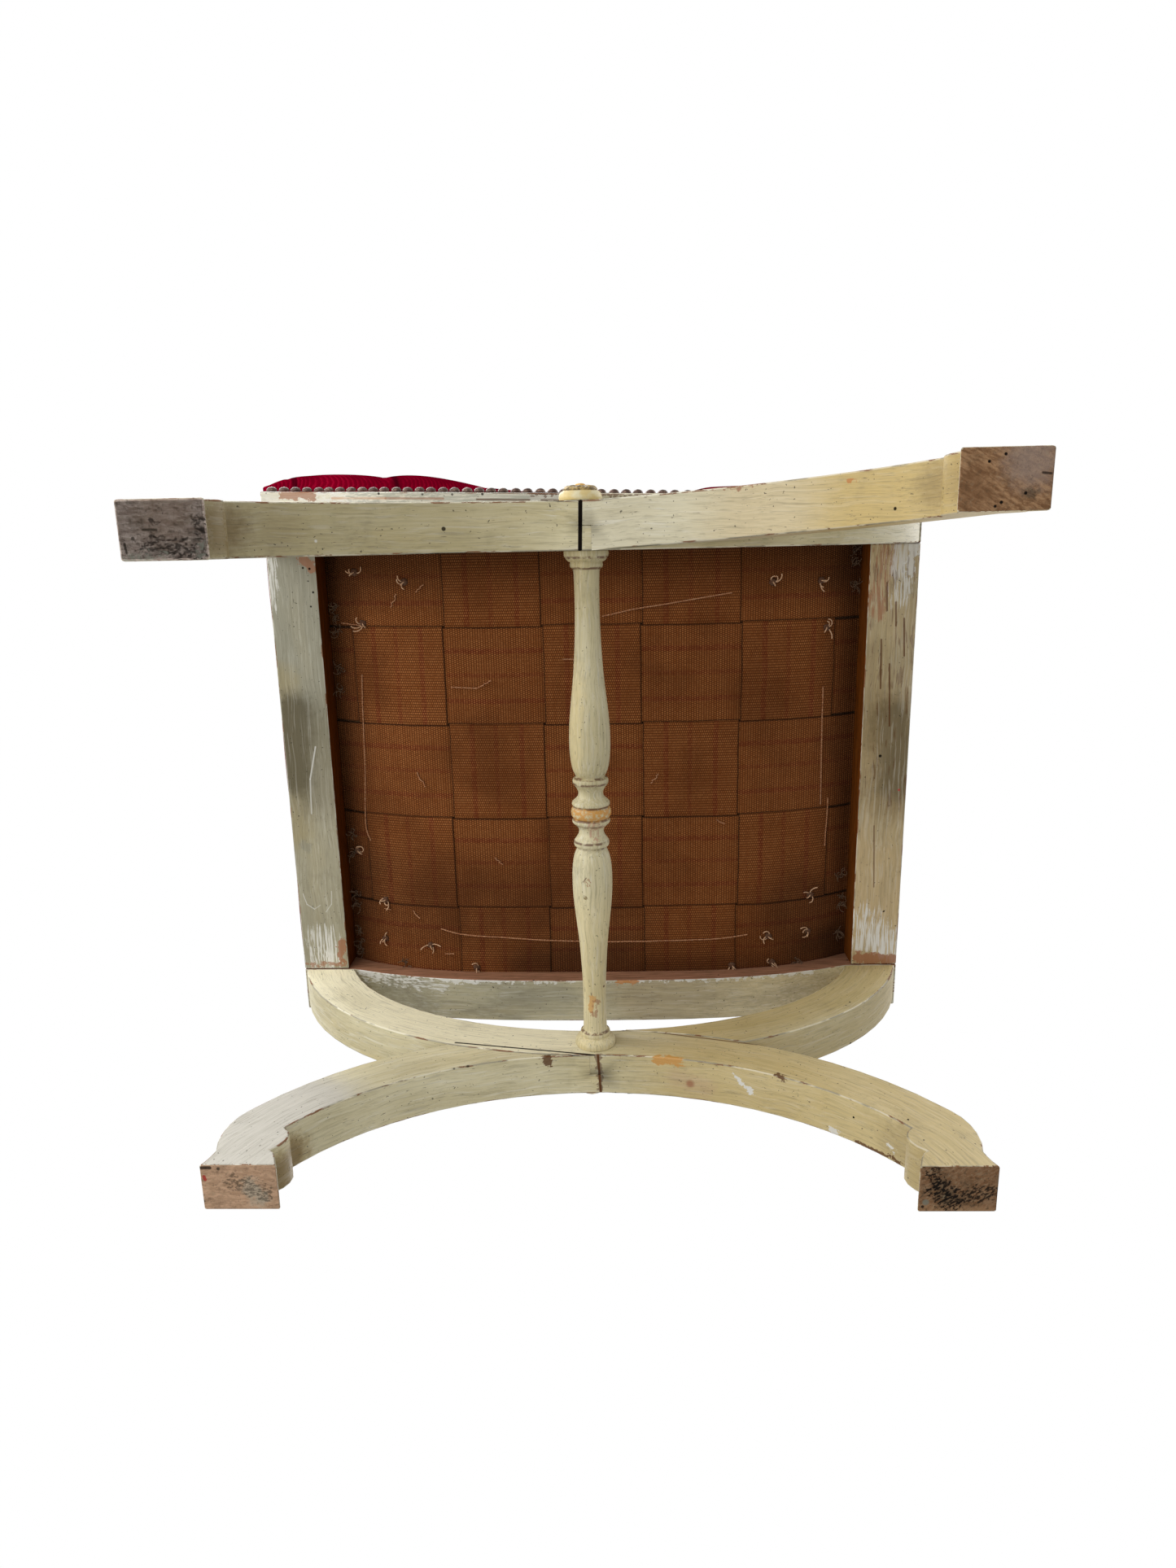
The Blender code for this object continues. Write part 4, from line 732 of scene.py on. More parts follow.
# the marks are given for a straight front rail, and by X and Y only under the side rails
rails = {
    "frontRail": {
        "node": "front_seat_rail", "grain": "X", "outward": (0, -1), "faceY": -0.2420,
        "inside": rgb(120, 70, 30), "insideShade": rgb(70, 38, 12), "markPlace": onFrontFace,
        "look": {"base": "cream", "shade": "ash", "dirt": 0.4, "wear": 0.5, "lines": 0.15},
        "marks": (
            ("tone", ((-0.29, -0.247, 0.330), (-0.04, -0.247, 0.292)), 0.018, 0.034, "gesso", 0.60),
            ("rub", ((-0.29, -0.244, 0.318), (-0.20, -0.244, 0.303)), 0.010, 0.026, "gesso", 0.95),
            ("rub", ((-0.20, -0.244, 0.303), (-0.06, -0.244, 0.286)), 0.008, 0.018, "grey", 0.85),
            ("patch", ((-0.268, -0.2425, 0.316), (-0.244, -0.2425, 0.316)), 0.002, 0.007, "wood", 0.80),
            ("patch", ((-0.05, -0.2448, 0.286), (0.05, -0.2448, 0.286)), 0.0001, 0.005, "oldWood", 0.7),
            ("dot", ((-0.225, -0.2396, 0.3107), (-0.175, -0.2396, 0.2970)), 0.0004, 0.0016, "tan", 0.85),
            ("dot", ((-0.175, -0.2396, 0.2970), (-0.124, -0.2396, 0.2893)), 0.0004, 0.0016, "wood", 0.65),
            ("dot", ((-0.095, -0.2392, 0.2870), (-0.050, -0.2392, 0.2855)), 0.0002, 0.0012, "oldWood", 0.85),
            ("dot", ((-0.040, -0.2392, 0.2852), (-0.008, -0.2392, 0.2850)), 0.0002, 0.0012, "oldWood", 0.80),
            ("dot", (-0.181, -0.2435, 0.2982), 0.0007, 0.0015, "black", 0.9),
            ("dot", (-0.142, -0.2430, 0.2914), 0.0006, 0.0014, "black", 0.8),
            ("dot", (-0.116, -0.2430, 0.2885), 0.0006, 0.0014, "black", 0.8),
            ("dot", (-0.090, -0.2435, 0.2866), 0.0007, 0.0015, "black", 0.9),
        ),
    },
    "backRail": {
        "node": "back_seat_rail", "grain": "X", "outward": (0, 1),
        "inside": rgb(160, 114, 88), "insideShade": rgb(116, 82, 60), "markPlace": onBackFace,
        "look": {"base": "cream", "shade": "ash", "dirt": 0.5, "wear": 0.4, "lines": 0.14},
        "marks": (
            ("tone", ((-0.26, 0.22, 0.31), (0.04, 0.22, 0.29)), 0.04, 0.12, "grime", 0.26),
            ("tone", ((-0.20, 0.215, 0.304), (-0.04, 0.22, 0.290)), 0.008, 0.030, "slate", 0.28),
            ("tone", ((0.05, 0.220, 0.289), (0.22, 0.225, 0.305)), 0.020, 0.050, "putty", 0.40),
            ("rub", ((-0.23, 0.208, 0.3134), (-0.15, 0.210, 0.2960)), 0.004, 0.016, "gesso", 0.9),
            ("patch", ((-0.2328, 0.2045, 0.3134), (-0.12, 0.2042, 0.2890)), 0.0001, 0.0070, "gesso", 0.85),
            ("patch", ((-0.12, 0.2036, 0.2884), (0.12, 0.2034, 0.2870)), 0.0001, 0.0044, "gesso", 0.8),
            ("patch", ((0.12, 0.2036, 0.2884), (0.2084, 0.2044, 0.3045)), 0.0001, 0.0044, "gesso", 0.7),
            ("patch", ((0.02, 0.2035, 0.285), (0.035, 0.2035, 0.285)), 0.0005, 0.006, "amber", 0.9),
        ),
    },
    "leftRail": {
        "node": "left_side_rail", "grain": "Y", "outward": (-1, 0),
        "inside": rgb(104, 50, 8), "insideShade": rgb(62, 28, 3), "markPlace": underSide,
        # the greyer ash paint is partly painted light: the left rail drawn cooler, as if in shade
        "look": {
            "base": "ash", "shade": "ashShade", "dirt": 0.4, "wear": 0.4, "light": 0.18, "warmth": 0.12,
            "lines": 0.10,
        },
        "marks": (
            # painted shade: the rail's front end drawn darker slate
            ("tone", ((-0.272, -0.22), (-0.270, -0.10)), 0.03, 0.09, "slate", 0.50),
            ("tone", ((-0.290, -0.080), (-0.292, 0.060)), 0.008, 0.030, "olive", 0.55),
            ("tone", ((-0.278, -0.055), (-0.282, 0.008)), 0.008, 0.026, "soot", 0.72),
            ("tone", ((-0.262, -0.040), (-0.264, 0.020)), 0.008, 0.045, "grime", 0.55),
            ("rub", ((-0.2880, -0.1500), (-0.284, -0.198)), 0.001, 0.012, "gesso", 0.70),
            ("patch", ((-0.2610, -0.1985), (-0.2490, -0.1830)), 0.001, 0.008, "wood", 0.85),
            ("rub", ((-0.2700, 0.1740), (-0.2700, 0.1950)), 0.008, 0.034, "gesso", 0.85),
            ("rub", ((-0.2740, 0.1860), (-0.2600, 0.1940)), 0.004, 0.016, "gesso", 0.8),
            ("patch", ((-0.2515, 0.176), (-0.2520, 0.194)), 0.001, 0.007, "wood", 0.90),
            ("patch", ((-0.2880, 0.1975), (-0.2500, 0.1985)), 0.000, 0.004, "wood", 0.75),
            ("tone", (-0.2786, 0.0767), 0.004, 0.008, "slate", 0.45),
            ("dot", ((-0.2604, -0.0210), (-0.2680, 0.0100)), 0.0003, 0.0010, "gesso", 0.6),
            ("dot", ((-0.2680, 0.0100), (-0.2697, 0.0435)), 0.0003, 0.0010, "gesso", 0.5),
            ("dot", ((-0.2850, 0.1240), (-0.2820, 0.1350)), 0.0001, 0.0007, "gesso", 0.6),
            ("dot", ((-0.2820, 0.1350), (-0.2750, 0.1400)), 0.0001, 0.0007, "gesso", 0.6),
            ("dot", ((-0.2750, 0.1400), (-0.2690, 0.1360)), 0.0001, 0.0007, "gesso", 0.4),
            ("dot", ((-0.2640, 0.1430), (-0.2580, 0.1350)), 0.0001, 0.0007, "gesso", 0.5),
            ("dot", ((-0.2580, 0.1350), (-0.2570, 0.1220)), 0.0001, 0.0007, "gesso", 0.5),
            ("dot", (-0.2518, -0.1835), 0.0008, 0.0014, "black", 0.95),
            ("dot", (-0.2577, -0.1844), 0.0007, 0.0013, "black", 0.9),
            ("dot", (-0.2503, -0.1628), 0.0007, 0.0013, "black", 0.95),
            ("dot", (-0.2534, -0.1502), 0.0006, 0.0012, "black", 0.9),
        ),
    },
    "rightRail": {
        "node": "right_side_rail", "grain": "Y", "outward": (1, 0),
        "inside": rgb(122, 66, 20), "insideShade": rgb(76, 38, 8), "markPlace": underSide,
        # the warmer putty paint is partly painted light: the right rail drawn warmer, as if in warm light
        "look": {
            "base": "putty", "shade": "puttyShade", "dirt": 0.4, "wear": 0.5, "light": 0.18, "warmth": 0.2,
            "lines": 0.16,
        },
        "marks": (
            ("tone", ((0.266, -0.150), (0.270, -0.060)), 0.010, 0.050, "slate", 0.16),
            ("tone", ((0.272, -0.040), (0.278, 0.030)), 0.012, 0.040, "umber", 0.62),
            ("tone", ((0.274, -0.040), (0.280, 0.020)), 0.008, 0.026, "soot", 0.45),
            ("tone", ((0.256, -0.100), (0.254, -0.020)), 0.004, 0.020, "umber", 0.35),
            ("rub", ((0.262, -0.198), (0.254, -0.140)), 0.004, 0.022, "wood", 0.75),
            ("rub", ((0.276, -0.195), (0.274, -0.150)), 0.003, 0.024, "gesso", 0.75),
            ("patch", ((0.284, -0.197), (0.282, -0.170)), 0.001, 0.008, "gesso", 0.7),
            ("crack", ((0.268, -0.165), (0.270, 0.020)), 0.018, 0.034, "oldWood", 0.48),
            ("dot", ((0.2597, -0.1117), (0.2612, -0.0676)), 0.0004, 0.0011, "oldWood", 0.85),
            ("dot", ((0.2622, -0.1618), (0.2635, -0.1376)), 0.0004, 0.0011, "oldWood", 0.85),
            ("dot", ((0.2682, -0.0897), (0.2711, -0.0329)), 0.0004, 0.0011, "oldWood", 0.85),
            ("dot", ((0.2710, -0.1446), (0.2721, -0.1238)), 0.0004, 0.0011, "oldWood", 0.85),
            ("dot", ((0.2790, -0.1302), (0.2809, -0.0968)), 0.0004, 0.0011, "oldWood", 0.85),
            ("dot", ((0.2618, 0.0624), (0.2645, 0.1231)), 0.0003, 0.0010, "oldWood", 0.7),
            ("dot", (0.2641, -0.0048), 0.0010, 0.0017, "black", 0.95),
            ("dot", (0.2831, 0.0278), 0.0008, 0.0015, "red", 0.9),
            ("dot", (0.2750, 0.1480), 0.0006, 0.0012, "black", 0.9),
            ("rub", ((0.256, 0.155), (0.288, 0.190)), 0.006, 0.034, "gesso", 0.9),
            ("rub", ((0.2550, 0.178), (0.286, 0.188)), 0.006, 0.018, "gesso", 0.9),
            ("patch", ((0.254, 0.1960), (0.290, 0.1985)), 0.002, 0.010, "wood", 0.9),
        ),
    },
}


def addRails():
    for name, rail in rails.items():
        piece = woodCopy(rail["node"], name)
        outward = rail["outward"]
        marks = placed(rail["marks"], rail["markPlace"])
        finish = creamPaint(
            name + "Paint", lambda tree, place: straightGrain(tree, place, rail["grain"]), marks, worms=0.12,
            **rail["look"],
        )
        raw = bareWood(
            name + "Inside", lambda tree, place: straightGrain(tree, place, rail["grain"]), rail["inside"],
            rail["insideShade"],
        )
        if name == "frontRail":
            for vertex in piece.data.vertices:
                if vertex.co.y < rail["faceY"]:
                    vertex.co.y += drawnIn(vertex.co.x)
        dress(piece, [finish, raw], [rail["node"]])
        giveFinishWhere(
            piece, 1,
            lambda centre, normal: normal.x * outward[0] + normal.y * outward[1] < -0.7 or normal.z > 0.7,
        )


addLegs()
print("legs are dressed")
addRails()
print("rails are dressed")


# turned pieces: places along the axis as shares of the half length, and shares of the radius
stretcher = {
    "half": 0.1992, "radius": 0.0166, "tenon": 0.009, "tenonEnd": 0.2342, "sides": 40,
    "gilded": (-0.008, 0.008),
    "grooves": (-0.976, -0.937, -0.140, -0.118, -0.026, 0.026, 0.050, 0.118, 0.142, 0.937),
    "profile": (
        (0.000, 0.950), (0.013, 0.925), (0.024, 0.835), (0.031, 0.895), (0.041, 0.880), (0.049, 0.790),
        (0.064, 0.620), (0.083, 0.590), (0.101, 0.695), (0.113, 0.800), (0.118, 0.835), (0.129, 0.840),
        (0.137, 0.800), (0.142, 0.675), (0.151, 0.715), (0.171, 0.820), (0.201, 0.898), (0.241, 0.946),
        (0.281, 0.958), (0.331, 0.946), (0.391, 0.892), (0.461, 0.801), (0.541, 0.699), (0.627, 0.627),
        (0.727, 0.572), (0.832, 0.560), (0.912, 0.578), (0.934, 0.615), (0.940, 0.711), (0.952, 0.741),
        (0.959, 0.723), (0.964, 0.830), (0.977, 0.964), (0.988, 1.000), (1.000, 0.988),
    ),
    # the middle ring's neighbours have their dirt and chips, and the ends their olive and yellow tones
    "marks": (
        ("tone", ((0.0, -0.190, 0.150), (0.0, -0.060, 0.150)), 0.03, 0.07, "olive", 0.28),
        ("tone", ((-0.012, -0.110, 0.155), (-0.014, -0.030, 0.155)), 0.003, 0.012, "yellow", 0.40),
        ("tone", ((0.0, 0.10, 0.150), (0.0, 0.19, 0.150)), 0.01, 0.05, "yellow", 0.35),
        ("rub", (0.004, 0.0160, 0.1532), 0.006, 0.012, "pinkWood", 0.95),
        ("dot", ((-0.0075, -0.0080, 0.1532), (-0.0020, -0.0120, 0.1515)), 0.0005, 0.0011, "black", 0.9),
        ("dot", ((-0.0020, -0.0120, 0.1515), (0.0010, -0.0070, 0.1505)), 0.0005, 0.0011, "black", 0.9),
        ("patch", ((-0.0045, 0.0560, 0.1504), (-0.0035, 0.0610, 0.1504)), 0.0003, 0.0034, "wood", 0.75),
        ("patch", (-0.0037, 0.0695, 0.1506), 0.0003, 0.0034, "umber", 0.85),
        ("dot", ((-0.0070, 0.0570, 0.1512), (-0.0045, 0.0535, 0.1504)), 0.0002, 0.0008, "oldWood", 0.8),
        ("dot", (0.0078, 0.1499, 0.1604), 0.0006, 0.0016, "oldWood", 0.9),
        ("patch", ((-0.0016, 0.1590, 0.1566), (-0.0020, 0.1680, 0.1566)), 0.0010, 0.0050, "gold", 0.75),
        ("patch", ((0.0024, 0.1620, 0.1567), (0.0000, 0.1740, 0.1568)), 0.0005, 0.0045, "wood", 0.65),
    ),
}
rosette = {
    "radius": 0.0158, "height": 0.012, "sides": 64, "foot": 0.235, "x": -0.0034,
    "backRadius": 0.0150, "backHeight": 0.0078,
    "profile": (
        (0.975, 0.00), (1.000, 0.16), (0.965, 0.36), (0.885, 0.50), (0.800, 0.55), (0.795, 0.66),
        (0.730, 0.75), (0.600, 0.81), (0.422, 0.84), (0.270, 0.87), (0.220, 0.94), (0.110, 0.99), (0.0, 1.0),
    ),
    "petals": 8, "relief": 0.0006, "petalsStart": (0.28, 0.42), "petalsEnd": (0.66, 0.80),
    "dull": rgb(96, 78, 44), "worn": rgb(176, 150, 92), "knob": rgb(204, 160, 80),
}


def flowing(points, steps):
    # more points on a smooth line through the given ones
    row = [points[0]] + list(points) + [points[-1]]
    out = []
    for before, first, second, after in zip(row, row[1:], row[2:], row[3:]):
        for k in range(steps):
            t = k / steps
            out.append(tuple(
                0.5 * (
                    2 * b + (c - a) * t + (2 * a - 5 * b + 4 * c - d) * t * t
                    + (3 * b - a - 3 * c + d) * t ** 3
                )
                for a, b, c, d in zip(before, first, second, after)
            ))
    return out + [points[-1]]


def spunPiece(name, line, sides):
    # a line of (along Y, radius) spun about the Y axis
    bpy.ops.mesh.primitive_plane_add(size=0.001)
    piece = bpy.context.object
    piece.name = name
    piece.data.clear_geometry()
    piece.data.from_pydata(
        [(radius, along, 0.0) for along, radius in line], [(k, k + 1) for k in range(len(line) - 1)], [],
    )
    pickOnly(piece)
    bpy.ops.object.mode_set(mode="EDIT")
    bpy.ops.mesh.select_all(action="SELECT")
    bpy.ops.mesh.spin(steps=sides, angle=2 * math.pi, center=(0, 0, 0), axis=(0, 1, 0))
    bpy.ops.object.mode_set(mode="OBJECT")
    fixNormals(piece)
    return piece



def ringShare(tree, place, shares, full, gone):
    # 1 on the rings whose places are given as shares of the stretcher's half length
    along = addNode(tree, "ShaderNodeSeparateXYZ", {0: place}).outputs[1]
    total = None
    for share in shares:
        middle = seat["middleY"] + share * stretcher["half"]
        away = calc(tree, "ABSOLUTE", calc(tree, "SUBTRACT", along, middle))
        ring = calc(tree, "SUBTRACT", 1.0, ranged(tree, away, full, gone))
        total = ring if total is None else calc(tree, "MAXIMUM", total, ring)
    return total


def ageRings(finish):
    # gold on the middle ring, and dirt in the grooves
    tree = finish.node_tree
    shader = tree.nodes["Principled BSDF"]
    place = placeOf(tree)
    shown = shader.inputs["Base Color"].links[0].from_socket
    broken = ranged(tree, cloud(tree, place, 330, 4.0, 0.65), 0.36, 0.54)
    gilding = ringShare(tree, place, stretcher["gilded"], 0.0032, 0.0046)
    shown = mixed(tree, calc(tree, "MULTIPLY", gilding, broken), shown, paint["gold"])
    patchy = ranged(tree, cloud(tree, place, 210, 3.0), 0.35, 0.6)
    grooves = ringShare(tree, place, stretcher["grooves"], 0.0004, 0.0014)
    dirty = calc(tree, "MULTIPLY", grooves, calc(tree, "MULTIPLY", patchy, 0.90))
    shown = mixed(tree, dirty, shown, paint["oldWood"])
    tree.links.new(shown, shader.inputs["Base Color"])


def addStretcher():
    half, tenon, tenonEnd = stretcher["half"], stretcher["tenon"], stretcher["tenonEnd"]
    profile = flowing(stretcher["profile"], 3)
    side = [(share * half, radius * stretcher["radius"]) for share, radius in profile]
    side += [(half, tenon), (tenonEnd, tenon), (tenonEnd, 0.0)]
    line = [(-along, radius) for along, radius in reversed(side)] + side[1:]
    piece = spunPiece("turnedStretcher", line, stretcher["sides"])
    for vertex in piece.data.vertices:
        vertex.co += Vector((0.0, seat["middleY"], seat["crossingZ"]))
    smoothBy(piece, 38)
    finish = creamPaint(
        "stretcherPaint", lambda tree, place: straightGrain(tree, place, "Y"), stretcher["marks"], dirt=0.45,
        worms=0.06, warmth=0.6, lines=0.12,
    )
    ageRings(finish)
    dress(piece, [finish], ["stretcher"])


def addRosettes():
    gilt = giltFinish()
    # the back rosette is a flatter one
    for name, node, outward, most, high in (
        ("frontRosette", "front_rosette", -1, rosette["radius"], rosette["height"]),
        ("backRosette", "back_rosette", 1, rosette["backRadius"], rosette["backHeight"]),
    ):
        line = [(height * high, radius * most) for radius, height in flowing(rosette["profile"], 4)]
        piece = spunPiece(name, [(0.0, 0.0)] + line, rosette["sides"])
        for vertex in piece.data.vertices:
            share = math.hypot(vertex.co.x, vertex.co.z) / most
            turn = math.atan2(vertex.co.z, vertex.co.x)
            zone = smoothStep(share, *rosette["petalsStart"]) * (1 - smoothStep(share, *rosette["petalsEnd"]))
            if vertex.co.y > 0.004:
                vertex.co.y += rosette["relief"] * zone * math.cos(rosette["petals"] * turn)
            placeY = seat["middleY"] + outward * (rosette["foot"] + vertex.co.y)
            vertex.co = Vector((vertex.co.x + rosette["x"], placeY, vertex.co.z + seat["crossingZ"]))
        fixNormals(piece)
        smoothBy(piece, 45)
        dress(piece, [gilt], [node])


def giltFinish():
    # cream outside, dull gold on the carved disc, and bright gold on the knob
    finish, tree, shader = newFinish("gilt", Roughness=0.5)
    place = placeOf(tree)
    split = addNode(tree, "ShaderNodeSeparateXYZ", {0: place})
    flat = addNode(tree, "ShaderNodeCombineXYZ", {0: split.outputs[0], 2: split.outputs[2]}).outputs[0]
    out = vectorCalc(tree, "DISTANCE", flat, (rosette["x"], 0.0, seat["crossingZ"])).outputs["Value"]
    cream = ranged(tree, cloud(tree, place, 120, 4.0), 0.4, 0.66)
    cream = mixed(tree, cream, paint["yellow"], paint["cream"])
    dull = ranged(tree, cloud(tree, place, 420, 4.0, 0.6), 0.42, 0.62)
    dull = mixed(tree, dull, rosette["dull"], rosette["worn"])
    disc = calc(tree, "LESS_THAN", out, 0.80 * rosette["radius"])
    knob = calc(tree, "LESS_THAN", out, 0.27 * rosette["radius"])
    shown = mixed(tree, disc, cream, dull)
    shown = mixed(tree, knob, shown, rosette["knob"])
    chips = calc(tree, "GREATER_THAN", cloud(tree, place, 260, 3.0, 0.6), 0.70)
    shown = mixed(tree, calc(tree, "MULTIPLY", chips, 0.8), shown, paint["oldWood"])
    tree.links.new(shown, shader.inputs["Base Color"])
    tree.links.new(calc(tree, "MULTIPLY", disc, 0.3), shader.inputs["Metallic"])
    tree.links.new(bumped(tree, cloud(tree, place, 900, 3.0), 0.3, 0.0003), shader.inputs["Normal"])
    return finish


addStretcher()
addRosettes()
print("stretcher and rosettes are turned")


# webbing: five strips each way, over and under by turns, nailed on at the rails
webbing = {
    "width": 0.0877, "slit": 0.0013, "thickness": 0.0012, "lift": 0.0017, "rest": 0.0003,
    "sideLap": 0.032, "endLap": 0.034, "crossLength": 0.585, "longLength": 0.467,
    "strips": 5, "across": 8, "along": 150, "turnOver": 0.007, "wander": 0.0007,
    "thread": 0.0024, "warpShare": 0.77,
    "colour": rgb(134, 76, 36), "dark": rgb(76, 38, 14), "fleckAndHighlight": rgb(184, 122, 72),
    # the stain colour also paints the shadow along the strips' edges
    "stripe": rgb(92, 28, 14), "stain": rgb(34, 20, 12),
    # each stripe's middle, half width and strength, as shares of the strip's width
    "stripes": ((0.24, 0.026, 0.72), (0.49, 0.022, 0.50), (0.76, 0.026, 0.72)),
}
# darker patches on the webbing beside the rails and below the seat's high ends: where, full to, gone at, how
# dark
webbingDarkening = (
    ((0.190, 0.150, 0.325), 0.015, 0.060, 0.45),
    (((-0.250, -0.190, 0.345), (-0.252, 0.190, 0.345)), 0.012, 0.055, 0.45),
    (((0.250, -0.190, 0.345), (0.252, 0.190, 0.345)), 0.012, 0.050, 0.45),
    (((-0.060, 0.205, 0.306), (0.250, 0.205, 0.340)), 0.008, 0.045, 0.50),
    (((-0.240, -0.195, 0.335), (0.240, -0.195, 0.335)), 0.012, 0.060, 0.45),
    (((-0.220, 0.130, 0.315), (0.000, 0.150, 0.306)), 0.020, 0.080, 0.28),
)
pitch = webbing["width"] + webbing["slit"]
stripPlaces = [(k - (webbing["strips"] - 1) / 2) * pitch for k in range(webbing["strips"])]


def jute(name, alongIsU, length):
    finish, tree, shader = newFinish(name, Roughness=0.95, Specular_IOR_Level=0.08)
    place = placeOf(tree)
    flat = addNode(tree, "ShaderNodeUVMap").outputs[0]
    split = addNode(tree, "ShaderNodeSeparateXYZ", {0: flat})
    along, across = split.outputs[0], split.outputs[1]
    if not alongIsU:
        along, across = across, along
    alongM = calc(tree, "MULTIPLY", along, length)
    acrossM = calc(tree, "MULTIPLY", across, webbing["width"])
    thread = webbing["thread"]
    ribs = calc(tree, "ABSOLUTE", calc(tree, "SINE", calc(tree, "MULTIPLY", alongM, math.pi / thread)))
    warp = thread * webbing["warpShare"]
    cellA = calc(tree, "FLOOR", calc(tree, "DIVIDE", alongM, thread))
    # every other rib is set off by half a thread, as in a plain weave
    odds = calc(tree, "MULTIPLY", calc(tree, "MODULO", cellA, 2.0), math.pi / 2)
    warps = calc(tree, "SINE", calc(tree, "MULTIPLY_ADD", acrossM, math.pi / warp, odds))
    warps = calc(tree, "ABSOLUTE", warps)
    weave = calc(tree, "MULTIPLY", ribs, warps)
    cellB = calc(tree, "FLOOR", calc(tree, "DIVIDE", acrossM, warp))
    cell = addNode(tree, "ShaderNodeCombineXYZ", {0: cellA, 1: cellB}).outputs[0]
    odd, rowOdd, ribOdd = (
        addNode(tree, "ShaderNodeTexWhiteNoise", {key: value}, noise_dimensions=size).outputs["Value"]
        for key, value, size in (("Vector", cell, "2D"), ("W", cellB, "1D"), ("W", cellA, "1D"))
    )
    uneven = calc(tree, "MULTIPLY_ADD", odd, 0.5, calc(tree, "MULTIPLY", rowOdd, 0.2))
    uneven = calc(tree, "MULTIPLY_ADD", ribOdd, 0.3, uneven)
    colour = mixed(tree, ranged(tree, weave, -0.25, 0.75), webbing["dark"], webbing["colour"])
    colour = mixed(tree, calc(tree, "MULTIPLY", uneven, 0.35), colour, webbing["dark"])
    stripes = None
    for middle, half, strength in webbing["stripes"]:
        away = calc(tree, "ABSOLUTE", calc(tree, "SUBTRACT", across, middle))
        band = calc(tree, "MULTIPLY", ranged(tree, away, half * 1.25, half * 0.8), strength)
        stripes = band if stripes is None else calc(tree, "MAXIMUM", stripes, band)
    stripes = calc(tree, "MULTIPLY", stripes, calc(tree, "MULTIPLY_ADD", ribOdd, 0.4, 0.6))
    colour = mixed(tree, stripes, colour, webbing["stripe"])
    # the weave's raised crests drawn paler: partly the jute's paler fibres, partly a painted highlight on the
    # threads
    light = calc(tree, "MULTIPLY", calc(tree, "POWER", weave, 1.5), uneven)
    colour = mixed(tree, light, colour, webbing["fleckAndHighlight"])
    # painted shadow: the strips' edges drawn dark with the stain colour, along the slits between strips
    fromMiddle = calc(tree, "ABSOLUTE", calc(tree, "SUBTRACT", across, 0.5))
    colour = mixed(tree, ranged(tree, fromMiddle, 0.484, 0.495, 0.0, 0.75), colour, webbing["stain"])
    faded = cloud(tree, place, 14, 4.0)
    colour = mixed(tree, ranged(tree, faded, 0.40, 0.70, 0.0, 0.45), colour, webbing["dark"])
    ragged = calc(tree, "MULTIPLY_ADD", faded, 0.06, -0.03)
    for spot, full, gone, amount in webbingDarkening:
        darker = near(tree, place, spot, full, gone, ragged)
        colour = mixed(tree, calc(tree, "MULTIPLY", darker, amount), colour, webbing["stain"])
    tree.links.new(colour, shader.inputs["Base Color"])
    height = calc(tree, "MULTIPLY_ADD", uneven, 0.4, weave)
    tree.links.new(bumped(tree, height, 0.8, 0.0007), shader.inputs["Normal"])
    return finish


def lifted(along, number, startsUp):
    # 1 where the strip passes above the ones that cross it
    level = 0.0
    for k, middle in enumerate(stripPlaces):
        if (k + number) % 2 == startsUp:
            edge = abs(along - middle) - pitch / 2
            level = max(level, 1 - smoothStep(edge, -webbing["turnOver"] / 2, webbing["turnOver"] / 2))
    return level


def addStrip(name, node, number, isCross, finish):
    middle = stripPlaces[number]
    endX = seat["railInnerX"] + webbing["sideLap"]
    endY = seat["halfInside"] + webbing["endLap"]
    reach = endX if isCross else endY
    counts = (webbing["along"], webbing["across"]) if isCross else (webbing["across"], webbing["along"])
    bpy.ops.mesh.primitive_grid_add(x_subdivisions=counts[0], y_subdivisions=counts[1], size=2, calc_uvs=True)
    piece = bpy.context.object
    piece.name = name
    for vertex in piece.data.vertices:
        along, across = (vertex.co.x, vertex.co.y) if isCross else (vertex.co.y, vertex.co.x)
        at = along * reach
        wander = webbing["wander"] * noise.noise(Vector((at * 28, middle * 90, 7.0 if isCross else 2.0)))
        wander += 0.4 * webbing["wander"] * noise.noise(Vector((at * 110, middle * 90, across * 3)))
        off = middle + across * webbing["width"] / 2 + wander
        up = lifted(at, number, 1 if isCross else 0)
        x, y = (at, off + seat["middleY"]) if isCross else (off, at + seat["middleY"])
        vertex.co = (x, y, railTop(x) + webbing["rest"] + webbing["lift"] * up)
    applyModifier(piece, "SOLIDIFY", thickness=webbing["thickness"], offset=1.0)
    smoothBy(piece, 60)
    dress(piece, [finish], [node])


def addWebbing():
    crossJute = jute("crossJute", True, webbing["crossLength"])
    longJute = jute("longJute", False, webbing["longLength"])
    for number in range(webbing["strips"]):
        addStrip("crossStrip%d" % (number + 1), "cross_webbing_%d" % (number + 1), number, True, crossJute)
        addStrip("longStrip%d" % (number + 1), "long_webbing_%d" % (number + 1), number, False, longJute)


addWebbing()
print("webbing is laced")


# hessian over the webbing, and the hair pad on it
hessianCloth = {
    "margin": 0.009, "thickness": 0.0009, "lift": 0.0037, "thread": 0.0016, "gridX": 90, "gridY": 60,
    "dark": rgb(52, 34, 18), "colour": rgb(126, 92, 56), "stain": rgb(70, 46, 26),
}
hairPad = {
    "margin": 0.003, "lift": 0.0052, "middle": 0.0095, "end": 0.0135, "lumps": 0.0006, "cuts": 40,
    "dark": rgb(30, 22, 16), "colour": rgb(96, 72, 50),
}


def saddle(x, middle, end):
    share = min(abs(x) / (0.85 * seat["halfWidth"]), 1.0)
    return middle + (end - middle) * (0.5 - 0.5 * math.cos(math.pi * share))


